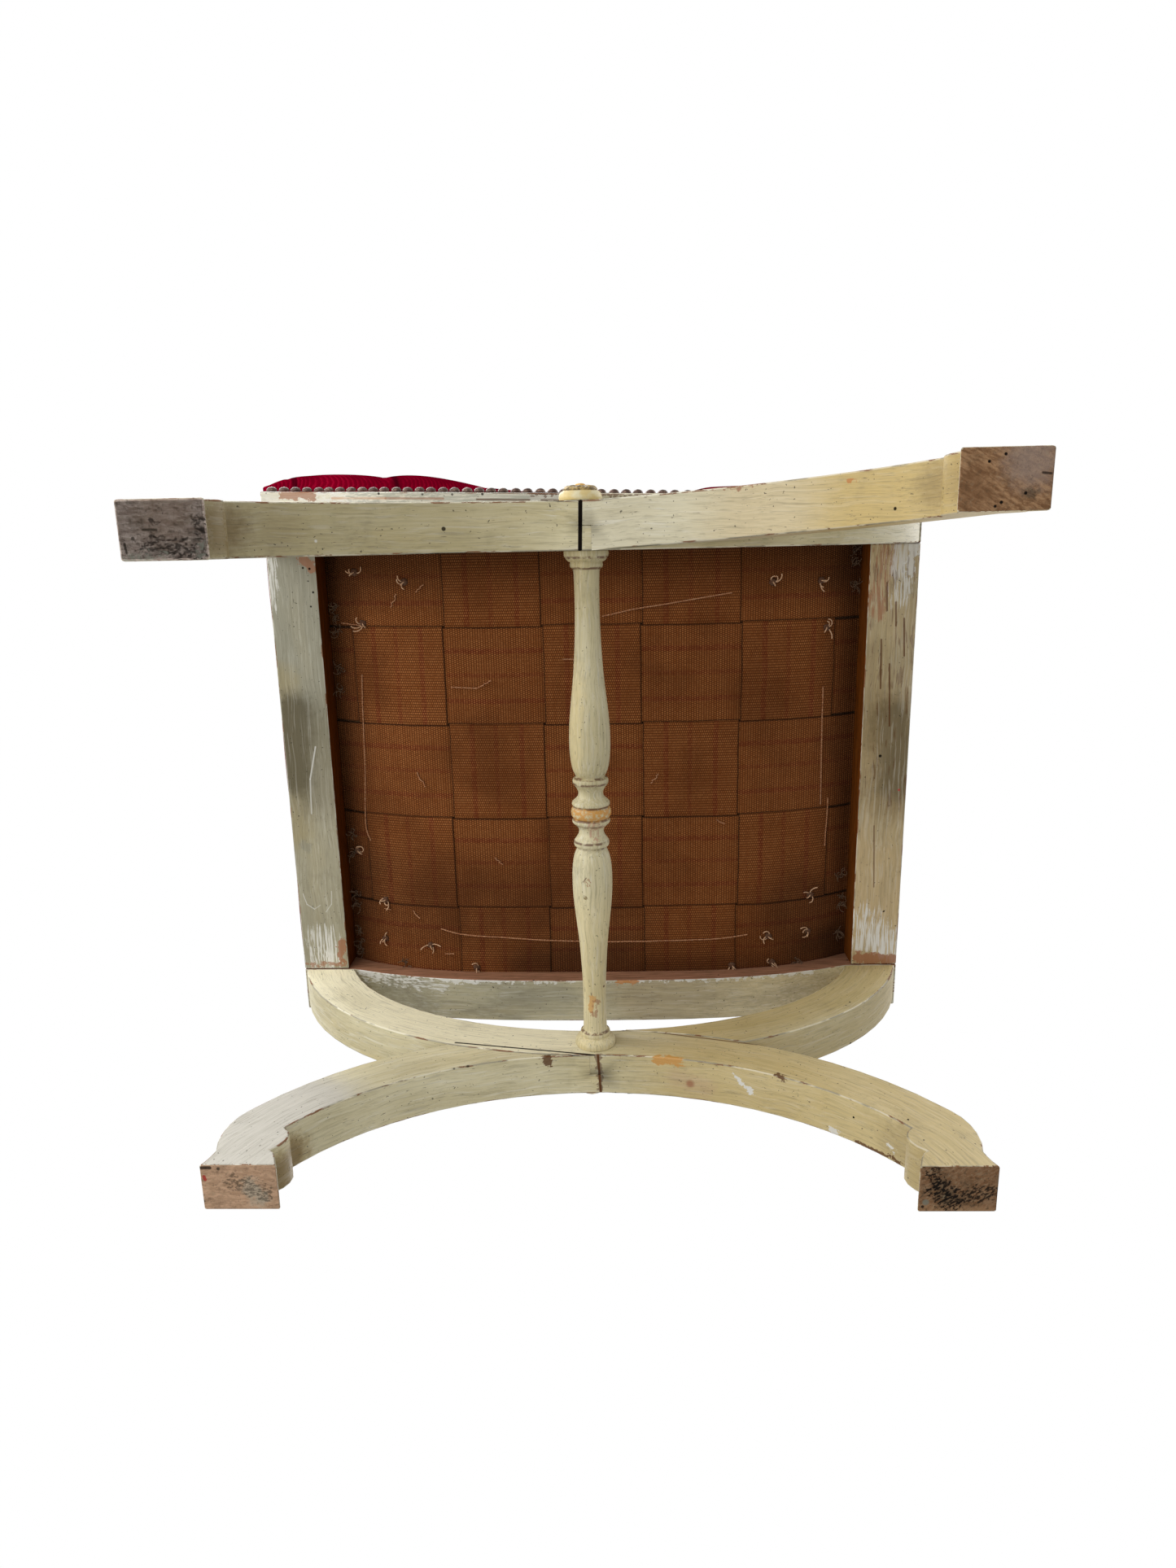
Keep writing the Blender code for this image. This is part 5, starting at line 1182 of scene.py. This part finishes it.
def addHessian():
    halfX = seat["halfWidth"] - hessianCloth["margin"]
    halfY = seat["halfDepth"] - hessianCloth["margin"]
    bpy.ops.mesh.primitive_grid_add(
        x_subdivisions=hessianCloth["gridX"], y_subdivisions=hessianCloth["gridY"], size=2, calc_uvs=True,
    )
    piece = bpy.context.object
    piece.name = "hessianCloth"
    for vertex in piece.data.vertices:
        x, y = vertex.co.x * halfX, vertex.co.y * halfY
        ripple = 0.0001 * noise.noise(Vector((x * 60, y * 60, 3)))
        vertex.co = (x, y, railTop(x) + hessianCloth["lift"] + ripple)
    applyModifier(piece, "SOLIDIFY", thickness=hessianCloth["thickness"], offset=1.0)
    smoothBy(piece, 60)
    finish, tree, shader = newFinish("hessianWeave", Roughness=0.95)
    place = placeOf(tree)
    split = addNode(tree, "ShaderNodeSeparateXYZ", {0: place})
    threads = []
    for k in (0, 1):
        turn = calc(tree, "MULTIPLY", split.outputs[k], math.pi / hessianCloth["thread"])
        threads.append(calc(tree, "ABSOLUTE", calc(tree, "SINE", turn)))
    weave = calc(tree, "MULTIPLY", *threads)
    colour = mixed(tree, weave, hessianCloth["dark"], hessianCloth["colour"])
    stain = ranged(tree, cloud(tree, place, 30, 4.0), 0.4, 0.7)
    colour = mixed(tree, stain, colour, hessianCloth["stain"])
    tree.links.new(colour, shader.inputs["Base Color"])
    tree.links.new(bumped(tree, weave, 0.7, 0.0005), shader.inputs["Normal"])
    dress(piece, [finish], ["hessian"])


def addHairPad():
    halfX = seat["halfWidth"] - hairPad["margin"]
    halfY = seat["halfDepth"] - hairPad["margin"]
    bpy.ops.mesh.primitive_cube_add(size=2)
    piece = bpy.context.object
    piece.name = "hairPad"
    bpy.ops.object.mode_set(mode="EDIT")
    bpy.ops.mesh.subdivide(number_cuts=hairPad["cuts"])
    bpy.ops.object.mode_set(mode="OBJECT")
    for vertex in piece.data.vertices:
        x, y = vertex.co.x * halfX, vertex.co.y * halfY
        up = (vertex.co.z + 1) / 2
        deep = saddle(x, hairPad["middle"], hairPad["end"])
        edge = max(abs(vertex.co.x), abs(vertex.co.y))
        crown = 1 - 0.35 * smoothStep(edge, 0.9, 1.0)
        lump = hairPad["lumps"] * noise.noise(Vector((x * 90, y * 90, up * 4)))
        vertex.co = (x, y, railTop(x) + hairPad["lift"] + up * (deep * crown - 0.001) + lump * up)
    smoothBy(piece, 50)
    finish, tree, shader = newFinish("curledHair", Roughness=0.95)
    place = placeOf(tree)
    curls = cloud(tree, place, 420, 4.0, 0.7, 3.0)
    shown = mixed(tree, ranged(tree, curls, 0.35, 0.65), hairPad["dark"], hairPad["colour"])
    tree.links.new(shown, shader.inputs["Base Color"])
    tree.links.new(bumped(tree, curls, 0.9, 0.001), shader.inputs["Normal"])
    dress(piece, [finish], ["hair_pad"])


addHessian()
addHairPad()
print("hessian and hair pad are laid")


# the buttoned velvet seat
velvet = {
    "crownMiddle": 0.364, "crownEnd": 0.426, "shoulderMiddle": 0.335, "shoulderEnd": 0.390,
    "inset": 0.005, "out": 0.0014, "over": 0.002, "hem": 0.0148, "corner": 0.016, "wall": 0.0012,
    "stepX": 0.0445, "stepY": 0.080, "reachX": 5, "reachY": 2,
    "tuft": 0.013, "pleat": 0.0105, "edgePleat": 0.0042,
    "gridX": 150, "gridY": 126, "sideSteps": 12,
    # the front's swell on the left and on the right, the sides' swell, and the right side's share of it
    "frontSwell": 0.0163, "rightSwell": 0.012, "sideSwell": 0.012, "rightShare": 0.66,
    # between which distances from the middle the front swells out, and how much it is drawn in at a corner
    "leftRise": (0.030, 0.170), "rightRise": (0.055, 0.105), "rightEndRise": (0.140, 0.250),
    "rightFirst": 0.70, "rightLast": 0.30,
    "cornerRise": (0.262, 0.294), "leftPinch": 0.58, "rightPinch": 0.15,
    "clothFrames": 20, "mostMove": 0.005,
    "cloth": {
        "uniform_pressure_force": 3.0, "quality": 4, "mass": 0.4, "tension_stiffness": 12,
        "compression_stiffness": 8, "bending_stiffness": 0.2, "shrink_min": -0.03,
    },
    "colour": rgb(120, 0, 26), "deep": rgb(76, 0, 17), "bloom": (0.30, 0.0, 0.03, 1.0),
    # the pinker red is a painted sheen on the twill, and the near black one a painted shade in the creases
    "paintedSheen": rgb(168, 22, 54), "fold": rgb(40, 0, 10), "twill": 0.0034, "creaseLean": 0.35, "sideMiddle": 0.345,
}


def tuftPlaces():
    rangeX = range(-velvet["reachX"], velvet["reachX"] + 1)
    rangeY = range(-velvet["reachY"], velvet["reachY"] + 1)
    places = [(a, b) for b in rangeY for a in rangeX if (a + b) % 2 == 0]
    return [(a * velvet["stepX"], b * velvet["stepY"]) for a, b in places]


def pleatsAt(x, y):
    # how far the folds between the buttons draw the velvet down, and how far the buttons do
    a = min(abs(x) / velvet["stepX"], velvet["reachX"])
    b = min(abs(y) / velvet["stepY"], velvet["reachY"])
    one = abs(math.sin(math.pi * (a + b) / 2))
    two = abs(math.sin(math.pi * (a - b) / 2))
    puff = (one * two) ** 0.42
    pastX = smoothStep(abs(x), velvet["reachX"] * velvet["stepX"], seat["halfWidth"])
    pastY = smoothStep(abs(y), velvet["reachY"] * velvet["stepY"], seat["halfDepth"])
    past = max(pastX, pastY)
    outside = 1 - 0.62 * past
    button = (1 - one * one) * (1 - two * two)
    return velvet["pleat"] * (1 - puff) * outside, velvet["tuft"] * button ** 5 * (1 - past)


def crownAt(x, y, edgeX, edgeY):
    shareX, shareY = min(abs(x) / edgeX, 1.0), min(abs(y) / edgeY, 1.0)
    shoulder = saddle(x, velvet["shoulderMiddle"], velvet["shoulderEnd"])
    crown = saddle(x, velvet["crownMiddle"], velvet["crownEnd"])
    return shoulder + (crown - shoulder) * (1 - shareY ** 2.5) * (1 - shareX ** 8)


def frontSwell(x):
    away = abs(x)
    # the left end bulges over the rail sooner than the right end does
    if x < 0:
        most, pinch = velvet["frontSwell"], velvet["leftPinch"]
        swell = smoothStep(away, *velvet["leftRise"])
    else:
        most, pinch = velvet["rightSwell"], velvet["rightPinch"]
        swell = velvet["rightFirst"] * smoothStep(away, *velvet["rightRise"])
        swell += velvet["rightLast"] * smoothStep(away, *velvet["rightEndRise"])
    corner = 1 - pinch * smoothStep(away, *velvet["cornerRise"])
    fold = 1 - abs(math.sin(math.pi * x / velvet["stepX"] / 2)) ** 0.5
    return most * swell * corner - velvet["edgePleat"] * fold * (0.3 + 0.7 * swell)


def sideSwell(y):
    corner = 1 - 0.25 * smoothStep(y / seat["halfDepth"], 0.76, 1.0)
    fold = 1 - abs(math.cos(math.pi * y / velvet["stepY"] / 2)) ** 0.5
    return velvet["sideSwell"] * corner - velvet["edgePleat"] * fold


def roundCorner(x, y, halfX, halfY):
    cornerX, cornerY = halfX - velvet["corner"], halfY - velvet["corner"]
    overX = max(abs(x) - cornerX, 0.0)
    overY = max(abs(y) - cornerY, 0.0)
    if overX == 0 or overY == 0:
        return x, y
    fit = max(overX, overY) / math.hypot(overX, overY)
    return math.copysign(cornerX + overX * fit, x), math.copysign(cornerY + overY * fit, y)


def topEdge():
    inset = velvet["over"] - velvet["inset"]
    return seat["halfWidth"] + inset, seat["halfDepth"] + inset


def seatPoint(shareX, shareY, down):
    # down is 0 on the seat's top, and runs to 1 at the nailed hem
    edgeX, edgeY = topEdge()
    x, y = shareX * edgeX, shareY * edgeY
    swellX = sideSwell(y) * (1.0 if shareX < 0 else velvet["rightShare"])
    if down == 0:
        nearX, nearY = abs(shareX) ** 16, abs(shareY) ** 16
        halfX = edgeX + 0.5 * nearX * swellX
        halfY = edgeY + 0.5 * nearY * frontSwell(x)
        pleat, tuft = pleatsAt(x, y)
        placeX, placeY = roundCorner(shareX * halfX, shareY * halfY, halfX, halfY)
        soft = 0.0012 * noise.noise(Vector((x * 35, y * 35, 5))) * (1 - max(nearX, nearY))
        placeY += drawnIn(placeX) * smoothStep(-shareY, 0.85, 1.0)
        return placeX, placeY, crownAt(x, y, edgeX, edgeY) - pleat - tuft + soft
    top = saddle(x, velvet["shoulderMiddle"], velvet["shoulderEnd"]) - pleatsAt(x, y)[0] * (1 - down) ** 2
    hem = railUnder(x) + velvet["hem"]
    seam = railTop(x)
    # the side swells in a round belly above the rail, and lies flat on the rail below it
    height = top + (hem - top) * down
    rise = min(max((height - seam) / max(top - seam, 1e-6), 0.0), 1.0)
    belly = math.sin(math.pi * rise ** 0.8 * 0.84)
    sideBelly = math.sin(math.pi * rise ** 0.4 * 0.84)
    outset = velvet["out"] - (velvet["out"] - velvet["over"] + velvet["inset"]) * smoothStep(rise, 0.55, 1.0)
    halfX = seat["halfWidth"] + outset + sideBelly * swellX
    halfY = seat["halfDepth"] + outset + belly * frontSwell(x)
    placeX, placeY = shareX * halfX, shareY * halfY
    if belly > 0:
        squareX, squareY = placeX, placeY
        placeX, placeY = roundCorner(placeX, placeY, halfX, halfY)
        keep = smoothStep(rise, 0.0, 0.9)
        placeX, placeY = squareX + (placeX - squareX) * keep, squareY + (placeY - squareY) * keep
    placeY += drawnIn(placeX) * smoothStep(-shareY, 0.85, 1.0)
    return placeX, placeY, height


def velvetFinish(name, paintsCreaseShade):
    finish, tree, shader = newFinish(name, Roughness=0.90, Sheen_Weight=0.08, Sheen_Roughness=0.4)
    shader.inputs["Sheen Tint"].default_value = velvet["bloom"]
    shader.inputs["Specular IOR Level"].default_value = 0.0
    place = placeOf(tree)
    brushed = cloud(tree, stretched(tree, place, 26, 14), 1.0, 4.0, 0.6, 0.8)
    split = addNode(tree, "ShaderNodeSeparateXYZ", {0: place})
    awayX = calc(tree, "SUBTRACT", calc(tree, "ABSOLUTE", split.outputs[0]), seat["halfWidth"])
    awayY = calc(tree, "SUBTRACT", calc(tree, "ABSOLUTE", split.outputs[1]), seat["halfDepth"])
    sideX, sideY = ranged(tree, awayX, -0.010, 0.002), ranged(tree, awayY, -0.010, 0.002)
    rise = calc(tree, "SUBTRACT", split.outputs[2], velvet["sideMiddle"])
    # the twill runs aslant over the top, and aslant down the sides too
    aslant = calc(tree, "ADD", split.outputs[0], split.outputs[1])
    aslant = calc(tree, "MULTIPLY_ADD", rise, calc(tree, "MAXIMUM", sideX, sideY), aslant)
    swing = calc(tree, "MULTIPLY", cloud(tree, place, 40, 2.0), 4.0)
    rib = calc(tree, "SINE", calc(tree, "MULTIPLY_ADD", aslant, 2 * math.pi / velvet["twill"], swing))
    shown = mixed(tree, ranged(tree, brushed, 0.34, 0.68, 0.45, 1.0), velvet["deep"], velvet["colour"])
    shown = mixed(tree, ranged(tree, rib, -0.6, 0.8, 0.0, 0.30), shown, velvet["deep"])
    # painted sheen: the brushed twill ribs drawn a pinker red where light would catch them
    paintedSheen = ranged(tree, brushed, 0.44, 0.62, 0.0, 0.26)
    paintedSheen = calc(tree, "MULTIPLY", ranged(tree, rib, -0.4, -0.9), paintedSheen)
    shown = mixed(tree, paintedSheen, shown, velvet["paintedSheen"])
    if paintsCreaseShade:
        # painted shade: the velvet drawn near black in the creases that run from the outermost buttons down
        # to the hem
        lean = calc(tree, "MULTIPLY_ADD", rise, velvet["creaseLean"], split.outputs[0])
        turn = calc(tree, "SINE", calc(tree, "MULTIPLY", lean, math.pi / 2 / velvet["stepX"]))
        creaseShade = ranged(tree, calc(tree, "ABSOLUTE", turn), 0.03, 0.15, 0.75, 0.0)
        shown = mixed(tree, calc(tree, "MULTIPLY", creaseShade, sideY), shown, velvet["fold"])
    tree.links.new(shown, shader.inputs["Base Color"])
    pile = cloud(tree, place, 1500, 2.0)
    height = calc(tree, "MULTIPLY_ADD", rib, 0.5, calc(tree, "MULTIPLY_ADD", pile, 0.5, brushed))
    tree.links.new(bumped(tree, height, 0.35, 0.0006), shader.inputs["Normal"])
    return finish


def addVelvetSeat():
    bpy.ops.mesh.primitive_grid_add(x_subdivisions=velvet["gridX"], y_subdivisions=velvet["gridY"], size=2)
    piece = bpy.context.object
    piece.name = "velvetCover"
    bpy.ops.object.mode_set(mode="EDIT")
    bpy.ops.mesh.select_all(action="SELECT")
    bpy.ops.mesh.region_to_loop()
    for step in range(velvet["sideSteps"]):
        bpy.ops.mesh.extrude_edges_move(TRANSFORM_OT_translate={"value": (0.0, 0.0, -1.0)})
    bpy.ops.object.mode_set(mode="OBJECT")
    fixNormals(piece)
    levels = []
    for vertex in piece.data.vertices:
        down = -vertex.co.z / velvet["sideSteps"]
        levels.append(down)
        vertex.co = seatPoint(vertex.co.x, vertex.co.y, down)
    return piece, levels


def puffVelvet(piece, levels):
    # a short cloth simulation fills the diamonds out between the buttons, which hold their places
    before = [vertex.co.copy() for vertex in piece.data.vertices]
    held = piece.vertex_groups.new(name="held")
    for vertex, down in zip(piece.data.vertices, levels):
        pleat, tuft = pleatsAt(vertex.co.x, vertex.co.y)
        hold = min(1.0, tuft / 0.004 + down * 3 + 0.55 * (pleat / velvet["pleat"]) ** 2)
        held.add([vertex.index], 1.0 if down > 0.35 else hold, "REPLACE")
    cloth = piece.modifiers.new("Cloth", "CLOTH")
    cloth.settings.vertex_group_mass = "held"
    cloth.settings.use_pressure = True
    for name, value in velvet["cloth"].items():
        setattr(cloth.settings, name, value)
    cloth.settings.effector_weights.gravity = 0.0
    cloth.point_cache.frame_end = velvet["clothFrames"] + 1
    scene = bpy.context.scene
    for moment in range(1, velvet["clothFrames"] + 1):
        scene.frame_set(moment)
    pickOnly(piece)
    bpy.ops.object.modifier_apply(modifier=cloth.name)
    scene.frame_set(1)
    for vertex, old in zip(piece.data.vertices, before):
        move = vertex.co - old
        if move.length > velvet["mostMove"]:
            vertex.co = old + move.normalized() * velvet["mostMove"]


def addVelvet():
    piece, levels = addVelvetSeat()
    puffVelvet(piece, levels)
    print("velvet is puffed")
    applyModifier(piece, "SOLIDIFY", thickness=velvet["wall"], offset=-1.0)
    smoothBy(piece, 70)
    dress(piece, [velvetFinish("redVelvet", True)], ["velvet_seat"])


velvetButtons = {"radius": 0.0085, "height": 0.0058, "sink": 0.0030, "sides": 20, "rings": 8}


def addButtons():
    edges = topEdge()
    finish = velvetFinish("buttonVelvet", False)
    for number, (x, y) in enumerate(tuftPlaces()):
        reach = velvetButtons["radius"]
        slopeX = (crownAt(x + reach, y, *edges) - crownAt(x - reach, y, *edges)) / (2 * reach)
        slopeY = (crownAt(x, y + reach, *edges) - crownAt(x, y - reach, *edges)) / (2 * reach)
        lean = Vector((-slopeX, -slopeY, 1.0)).normalized()
        pleat, tuft = pleatsAt(x, y)
        foot = Vector((x, y, crownAt(x, y, *edges) - pleat - tuft))
        bpy.ops.mesh.primitive_uv_sphere_add(
            segments=velvetButtons["sides"], ring_count=velvetButtons["rings"], radius=1.0,
        )
        piece = bpy.context.object
        piece.name = "button%02d" % (number + 1)
        for vertex in piece.data.vertices:
            flat = 0.5 if vertex.co.z < 0 else 1.0
            vertex.co.x *= reach
            vertex.co.y *= reach
            vertex.co.z *= velvetButtons["height"] * flat
        piece.rotation_euler = Vector((0, 0, 1)).rotation_difference(lean).to_euler()
        piece.location = foot + lean * velvetButtons["sink"]
        applyPlace(piece)
        smoothBy(piece, 80)
        dress(piece, [finish], ["velvet_button_%02d" % (number + 1)])


addVelvet()
addButtons()
print("velvet seat and its buttons are done")


# domed nails along the velvet's hem
nails = {
    "radius": 0.0048, "proud": 0.0034, "pitch": 0.0105, "sway": 0.0004, "sides": 10, "rings": 6,
    "up": 0.0152, "sideUp": 0.019, "out": 0.0013, "endX": 0.284, "endY": 0.238,
    "colour": rgb(74, 56, 48), "worn": rgb(128, 106, 90),
}


def nailDome():
    bpy.ops.mesh.primitive_uv_sphere_add(segments=nails["sides"], ring_count=nails["rings"], radius=1.0)
    dome = bpy.context.object
    bpy.ops.object.mode_set(mode="EDIT")
    bpy.ops.mesh.select_all(action="SELECT")
    bpy.ops.mesh.bisect(plane_co=(0, 0, 0), plane_no=(0, 0, 1), clear_inner=True, use_fill=True)
    bpy.ops.object.mode_set(mode="OBJECT")
    dome.scale = (nails["radius"], nails["radius"], nails["proud"])
    applyPlace(dome)
    fixNormals(dome)
    smoothBy(dome, 60)
    return dome


def nailFinish():
    finish, tree, shader = newFinish("bronzeNail", Roughness=0.38, Metallic=0.75)
    place = placeOf(tree)
    worn = ranged(tree, cloud(tree, place, 300, 3.0), 0.48, 0.70, 0.0, 0.7)
    tree.links.new(mixed(tree, worn, nails["colour"], nails["worn"]), shader.inputs["Base Color"])
    tree.links.new(bumped(tree, cloud(tree, place, 1400, 2.0), 0.25, 0.0002), shader.inputs["Normal"])
    return finish


def addNailRow(name, dome, spots, outward, finish):
    turn = Vector((0, 0, 1)).rotation_difference(Vector(outward))
    row = []
    for number, spot in enumerate(spots):
        piece = bpy.data.objects.new("%s%02d" % (name, number), dome.data.copy())
        bpy.context.scene.collection.objects.link(piece)
        sway = Vector(random.uniform(-1, 1) for k in range(3)) * nails["sway"]
        side = Vector((sway.x * abs(outward[1]), sway.y * abs(outward[0]), sway.z))
        piece.matrix_world = Matrix.Translation(Vector(spot) + side) @ turn.to_matrix().to_4x4()
        row.append(piece)
    joined = joinAll(row, name)
    applyPlace(joined)
    dress(joined, [finish])


def addNails():
    dome = nailDome()
    finish = nailFinish()
    face = {"x": seat["halfWidth"] + nails["out"], "y": seat["halfDepth"] + nails["out"]}
    countX = int(2 * nails["endX"] / nails["pitch"])
    countY = int(2 * nails["endY"] / nails["pitch"])
    alongX = [nails["endX"] * (2 * k / countX - 1) for k in range(countX + 1)]
    alongY = [nails["endY"] * (2 * k / countY - 1) for k in range(countY + 1)]
    endZ = railUnder(seat["halfWidth"]) + nails["sideUp"]
    front = [(x, drawnIn(x) - face["y"], railUnder(x) + nails["up"]) for x in alongX]
    addNailRow("frontNails", dome, front, (0, -1, 0), finish)
    back = [(x, face["y"], railUnder(x) + nails["up"]) for x in alongX]
    addNailRow("backNails", dome, back, (0, 1, 0), finish)
    addNailRow("leftNails", dome, [(-face["x"], y, endZ) for y in alongY], (-1, 0, 0), finish)
    addNailRow("rightNails", dome, [(face["x"], y, endZ) for y in alongY], (1, 0, 0), finish)
    bpy.data.objects.remove(dome)


addNails()
print("nails are in")


# twine on the webbing's underside: stitches, their knotted ends, loose strands and tufts of hair
twine = {
    "stitch": 0.00062, "strand": 0.00055, "hair": 0.00030, "sides": 6,
    "bow": 0.0011, "sag": 0.0012, "knot": 0.0032, "loop": 0.0024, "tails": 3, "tail": 0.013, "curl": 3.6,
    "tuftHairs": 9, "tuft": 0.009,
    "pale": rgb(200, 166, 134), "straw": rgb(176, 132, 98), "lump": rgb(84, 60, 40),
    "hairColour": rgb(112, 90, 70),
    "stitches": (
        ((-0.2150, -0.0862), (-0.2172, -0.0450), (-0.2190, 0.0020), (-0.2230, 0.0577), (-0.2187, 0.0757)),
        ((0.2117, -0.0688), (0.2124, -0.0098), (0.2137, 0.0440)),
        ((0.2210, 0.0385), (0.2205, 0.0620), (0.2196, 0.0860)),
        ((0.0096, -0.1378), (0.0380, -0.1432), (0.0674, -0.1475), (0.1243, -0.1562)),
        ((-0.1518, 0.1598), (-0.1309, 0.1648), (-0.0897, 0.1675), (-0.0449, 0.1706), (0.0125, 0.1724),
         (0.0657, 0.1721), (0.1167, 0.1709), (0.1443, 0.1681)),
    ),
    "knots": (
        (-0.215, -0.1795), (-0.167, -0.1705), (0.161, -0.1645), (0.206, -0.1645), (-0.210, -0.1335),
        (0.213, -0.1225), (-0.234, 0.0875), (-0.207, 0.1345), (-0.210, 0.1755), (-0.163, 0.1775),
        (-0.118, 0.1990), (0.206, 0.1335), (0.205, 0.1715), (0.165, 0.1715), (0.130, 0.1990),
        (0.169, 0.1990),
    ),
    "strands": (
        ((-0.1570, -0.1615), (-0.1490, -0.1680)), ((-0.1815, -0.1480), (-0.1750, -0.1600)),
        ((-0.1290, -0.0760), (-0.1045, -0.0750)), ((-0.1040, -0.0755), (-0.0916, -0.0820)),
        ((-0.0270, -0.1000), (-0.0150, -0.1000)), ((-0.1660, 0.0040), (-0.1590, 0.0180)),
        ((-0.0960, 0.0865), (-0.0880, 0.0930)), ((-0.1790, 0.1430), (-0.1720, 0.1500)),
        ((-0.1490, 0.1860), (-0.1400, 0.1850)), ((-0.2090, 0.1440), (-0.2020, 0.1440)),
        ((0.0520, 0.0160), (0.0590, 0.0070)), ((0.1130, 0.0520), (0.1210, 0.0560)),
        ((-0.2330, -0.1335), (-0.2110, -0.1315)),
    ),
    "tufts": (
        (-0.2380, -0.1480), (-0.2385, -0.1380), (-0.2390, -0.1260), (-0.2385, -0.0900), (-0.2400, -0.0700),
        (-0.2390, 0.0720), (-0.2395, 0.0930), (-0.2400, 0.1340), (-0.2400, 0.1460), (-0.2395, 0.1720),
        (-0.2390, 0.1850), (-0.2385, 0.1950), (0.2390, -0.1900), (0.2385, -0.1780), (0.2395, -0.1600),
        (0.2395, 0.1180), (0.2400, 0.1420), (0.2395, 0.1500), (0.2390, 0.1800), (-0.1900, 0.2010),
        (0.1950, 0.2010),
    ),
}


def hangingAt(x, y, drop=0.0):
    # a place on the webbing's underside, or that far below it
    return Vector((x, y, railTop(x) + webbing["rest"] - drop))


def addStitches(finish):
    made = []
    for points in twine["stitches"]:
        line = []
        for number, (x, y) in enumerate(flowing(points, 6)):
            wave = 0.0003 * noise.noise(Vector((x * 60, y * 60, 1.0)))
            line.append(hangingAt(x + wave, y + wave, twine["stitch"] * 0.9))
        made.append(tube("stitch", line, twine["stitch"], twine["sides"]))
    for (x0, y0), (x1, y1) in twine["strands"]:
        line = []
        for k in range(7):
            share = k / 6
            bow = twine["bow"] * math.sin(math.pi * share) * random.choice((-1, 1))
            drop = twine["strand"] * 0.9 + twine["sag"] * share ** 2
            line.append(hangingAt(x0 + (x1 - x0) * share + bow, y0 + (y1 - y0) * share, drop))
        made.append(tube("strand", line, twine["strand"], twine["sides"]))
    piece = joinAll(made, "twineStitches")
    smoothBy(piece, 80)
    dress(piece, [finish])


def frayedTail(foot, reach, radius, drop):
    heading = random.uniform(0, 2 * math.pi)
    bend = random.uniform(0.3, 1.0) * random.choice((-1, 1)) * twine["curl"]
    spot = foot.copy()
    line = [spot.copy()]
    for k in range(6):
        heading += bend / 6
        fall = -drop * math.sin(math.pi * (k + 1) / 7)
        spot += Vector((math.cos(heading), math.sin(heading), fall)) * reach / 6
        line.append(spot.copy())
    return tube("tail", line, radius, twine["sides"])


def addKnots(tailFinish, lumpFinish):
    lumps, tails = [], []
    for x, y in twine["knots"]:
        foot = hangingAt(x, y, 0.0008)
        bpy.ops.mesh.primitive_ico_sphere_add(subdivisions=2, radius=twine["knot"])
        lump = bpy.context.object
        for vertex in lump.data.vertices:
            vertex.co *= 1 + 0.45 * noise.noise(vertex.co * 600 + Vector((x * 90, y * 90, 0)))
            vertex.co.z *= 0.6
        lump.location = foot
        applyPlace(lump)
        lumps.append(lump)
        ring = [k * math.pi / 6 for k in range(11)]
        lean = random.uniform(0, math.pi)
        reach = twine["loop"] * random.uniform(0.8, 1.2)
        loop = []
        for turn in ring:
            out = reach * (1 + math.cos(turn))
            fall = -0.0012 - reach * 0.8 * math.sin(turn)
            loop.append(foot + Vector((out * math.cos(lean), out * math.sin(lean), fall)))
        tails.append(tube("loop", loop, twine["strand"], twine["sides"]))
        for k in range(twine["tails"]):
            tails.append(frayedTail(foot, twine["tail"] * random.uniform(0.6, 1.0), twine["strand"], 0.45))
    dark = joinAll(lumps, "knotLumps")
    smoothBy(dark, 80)
    dress(dark, [lumpFinish])
    pale = joinAll(tails, "knotTails")
    smoothBy(pale, 80)
    dress(pale, [tailFinish])


def addTufts(finish):
    hairs = []
    for x, y in twine["tufts"]:
        for k in range(twine["tuftHairs"]):
            foot = hangingAt(x + random.uniform(-0.002, 0.002), y + random.uniform(-0.003, 0.003), 0.0003)
            hairs.append(frayedTail(foot, twine["tuft"] * random.uniform(0.5, 1.0), twine["hair"], 0.8))
    piece = joinAll(hairs, "hairTufts")
    smoothBy(piece, 80)
    dress(piece, [finish])


def twineFinish(name, pale, dark):
    finish, tree, shader = newFinish(name, Roughness=0.9)
    place = placeOf(tree)
    fibres = cloud(tree, place, 900, 3.0, 0.6)
    tree.links.new(mixed(tree, ranged(tree, fibres, 0.35, 0.65), pale, dark), shader.inputs["Base Color"])
    tree.links.new(bumped(tree, fibres, 0.6, 0.0002), shader.inputs["Normal"])
    return finish


def addTwine():
    addStitches(twineFinish("stitchTwine", twine["straw"], webbing["colour"]))
    frayed = twineFinish("frayedTwine", twine["pale"], twine["straw"])
    addKnots(frayed, twineFinish("knotTwine", twine["lump"], webbing["dark"]))
    addTufts(twineFinish("looseHair", twine["hairColour"], twine["lump"]))


addTwine()
print("twine and knots are on")
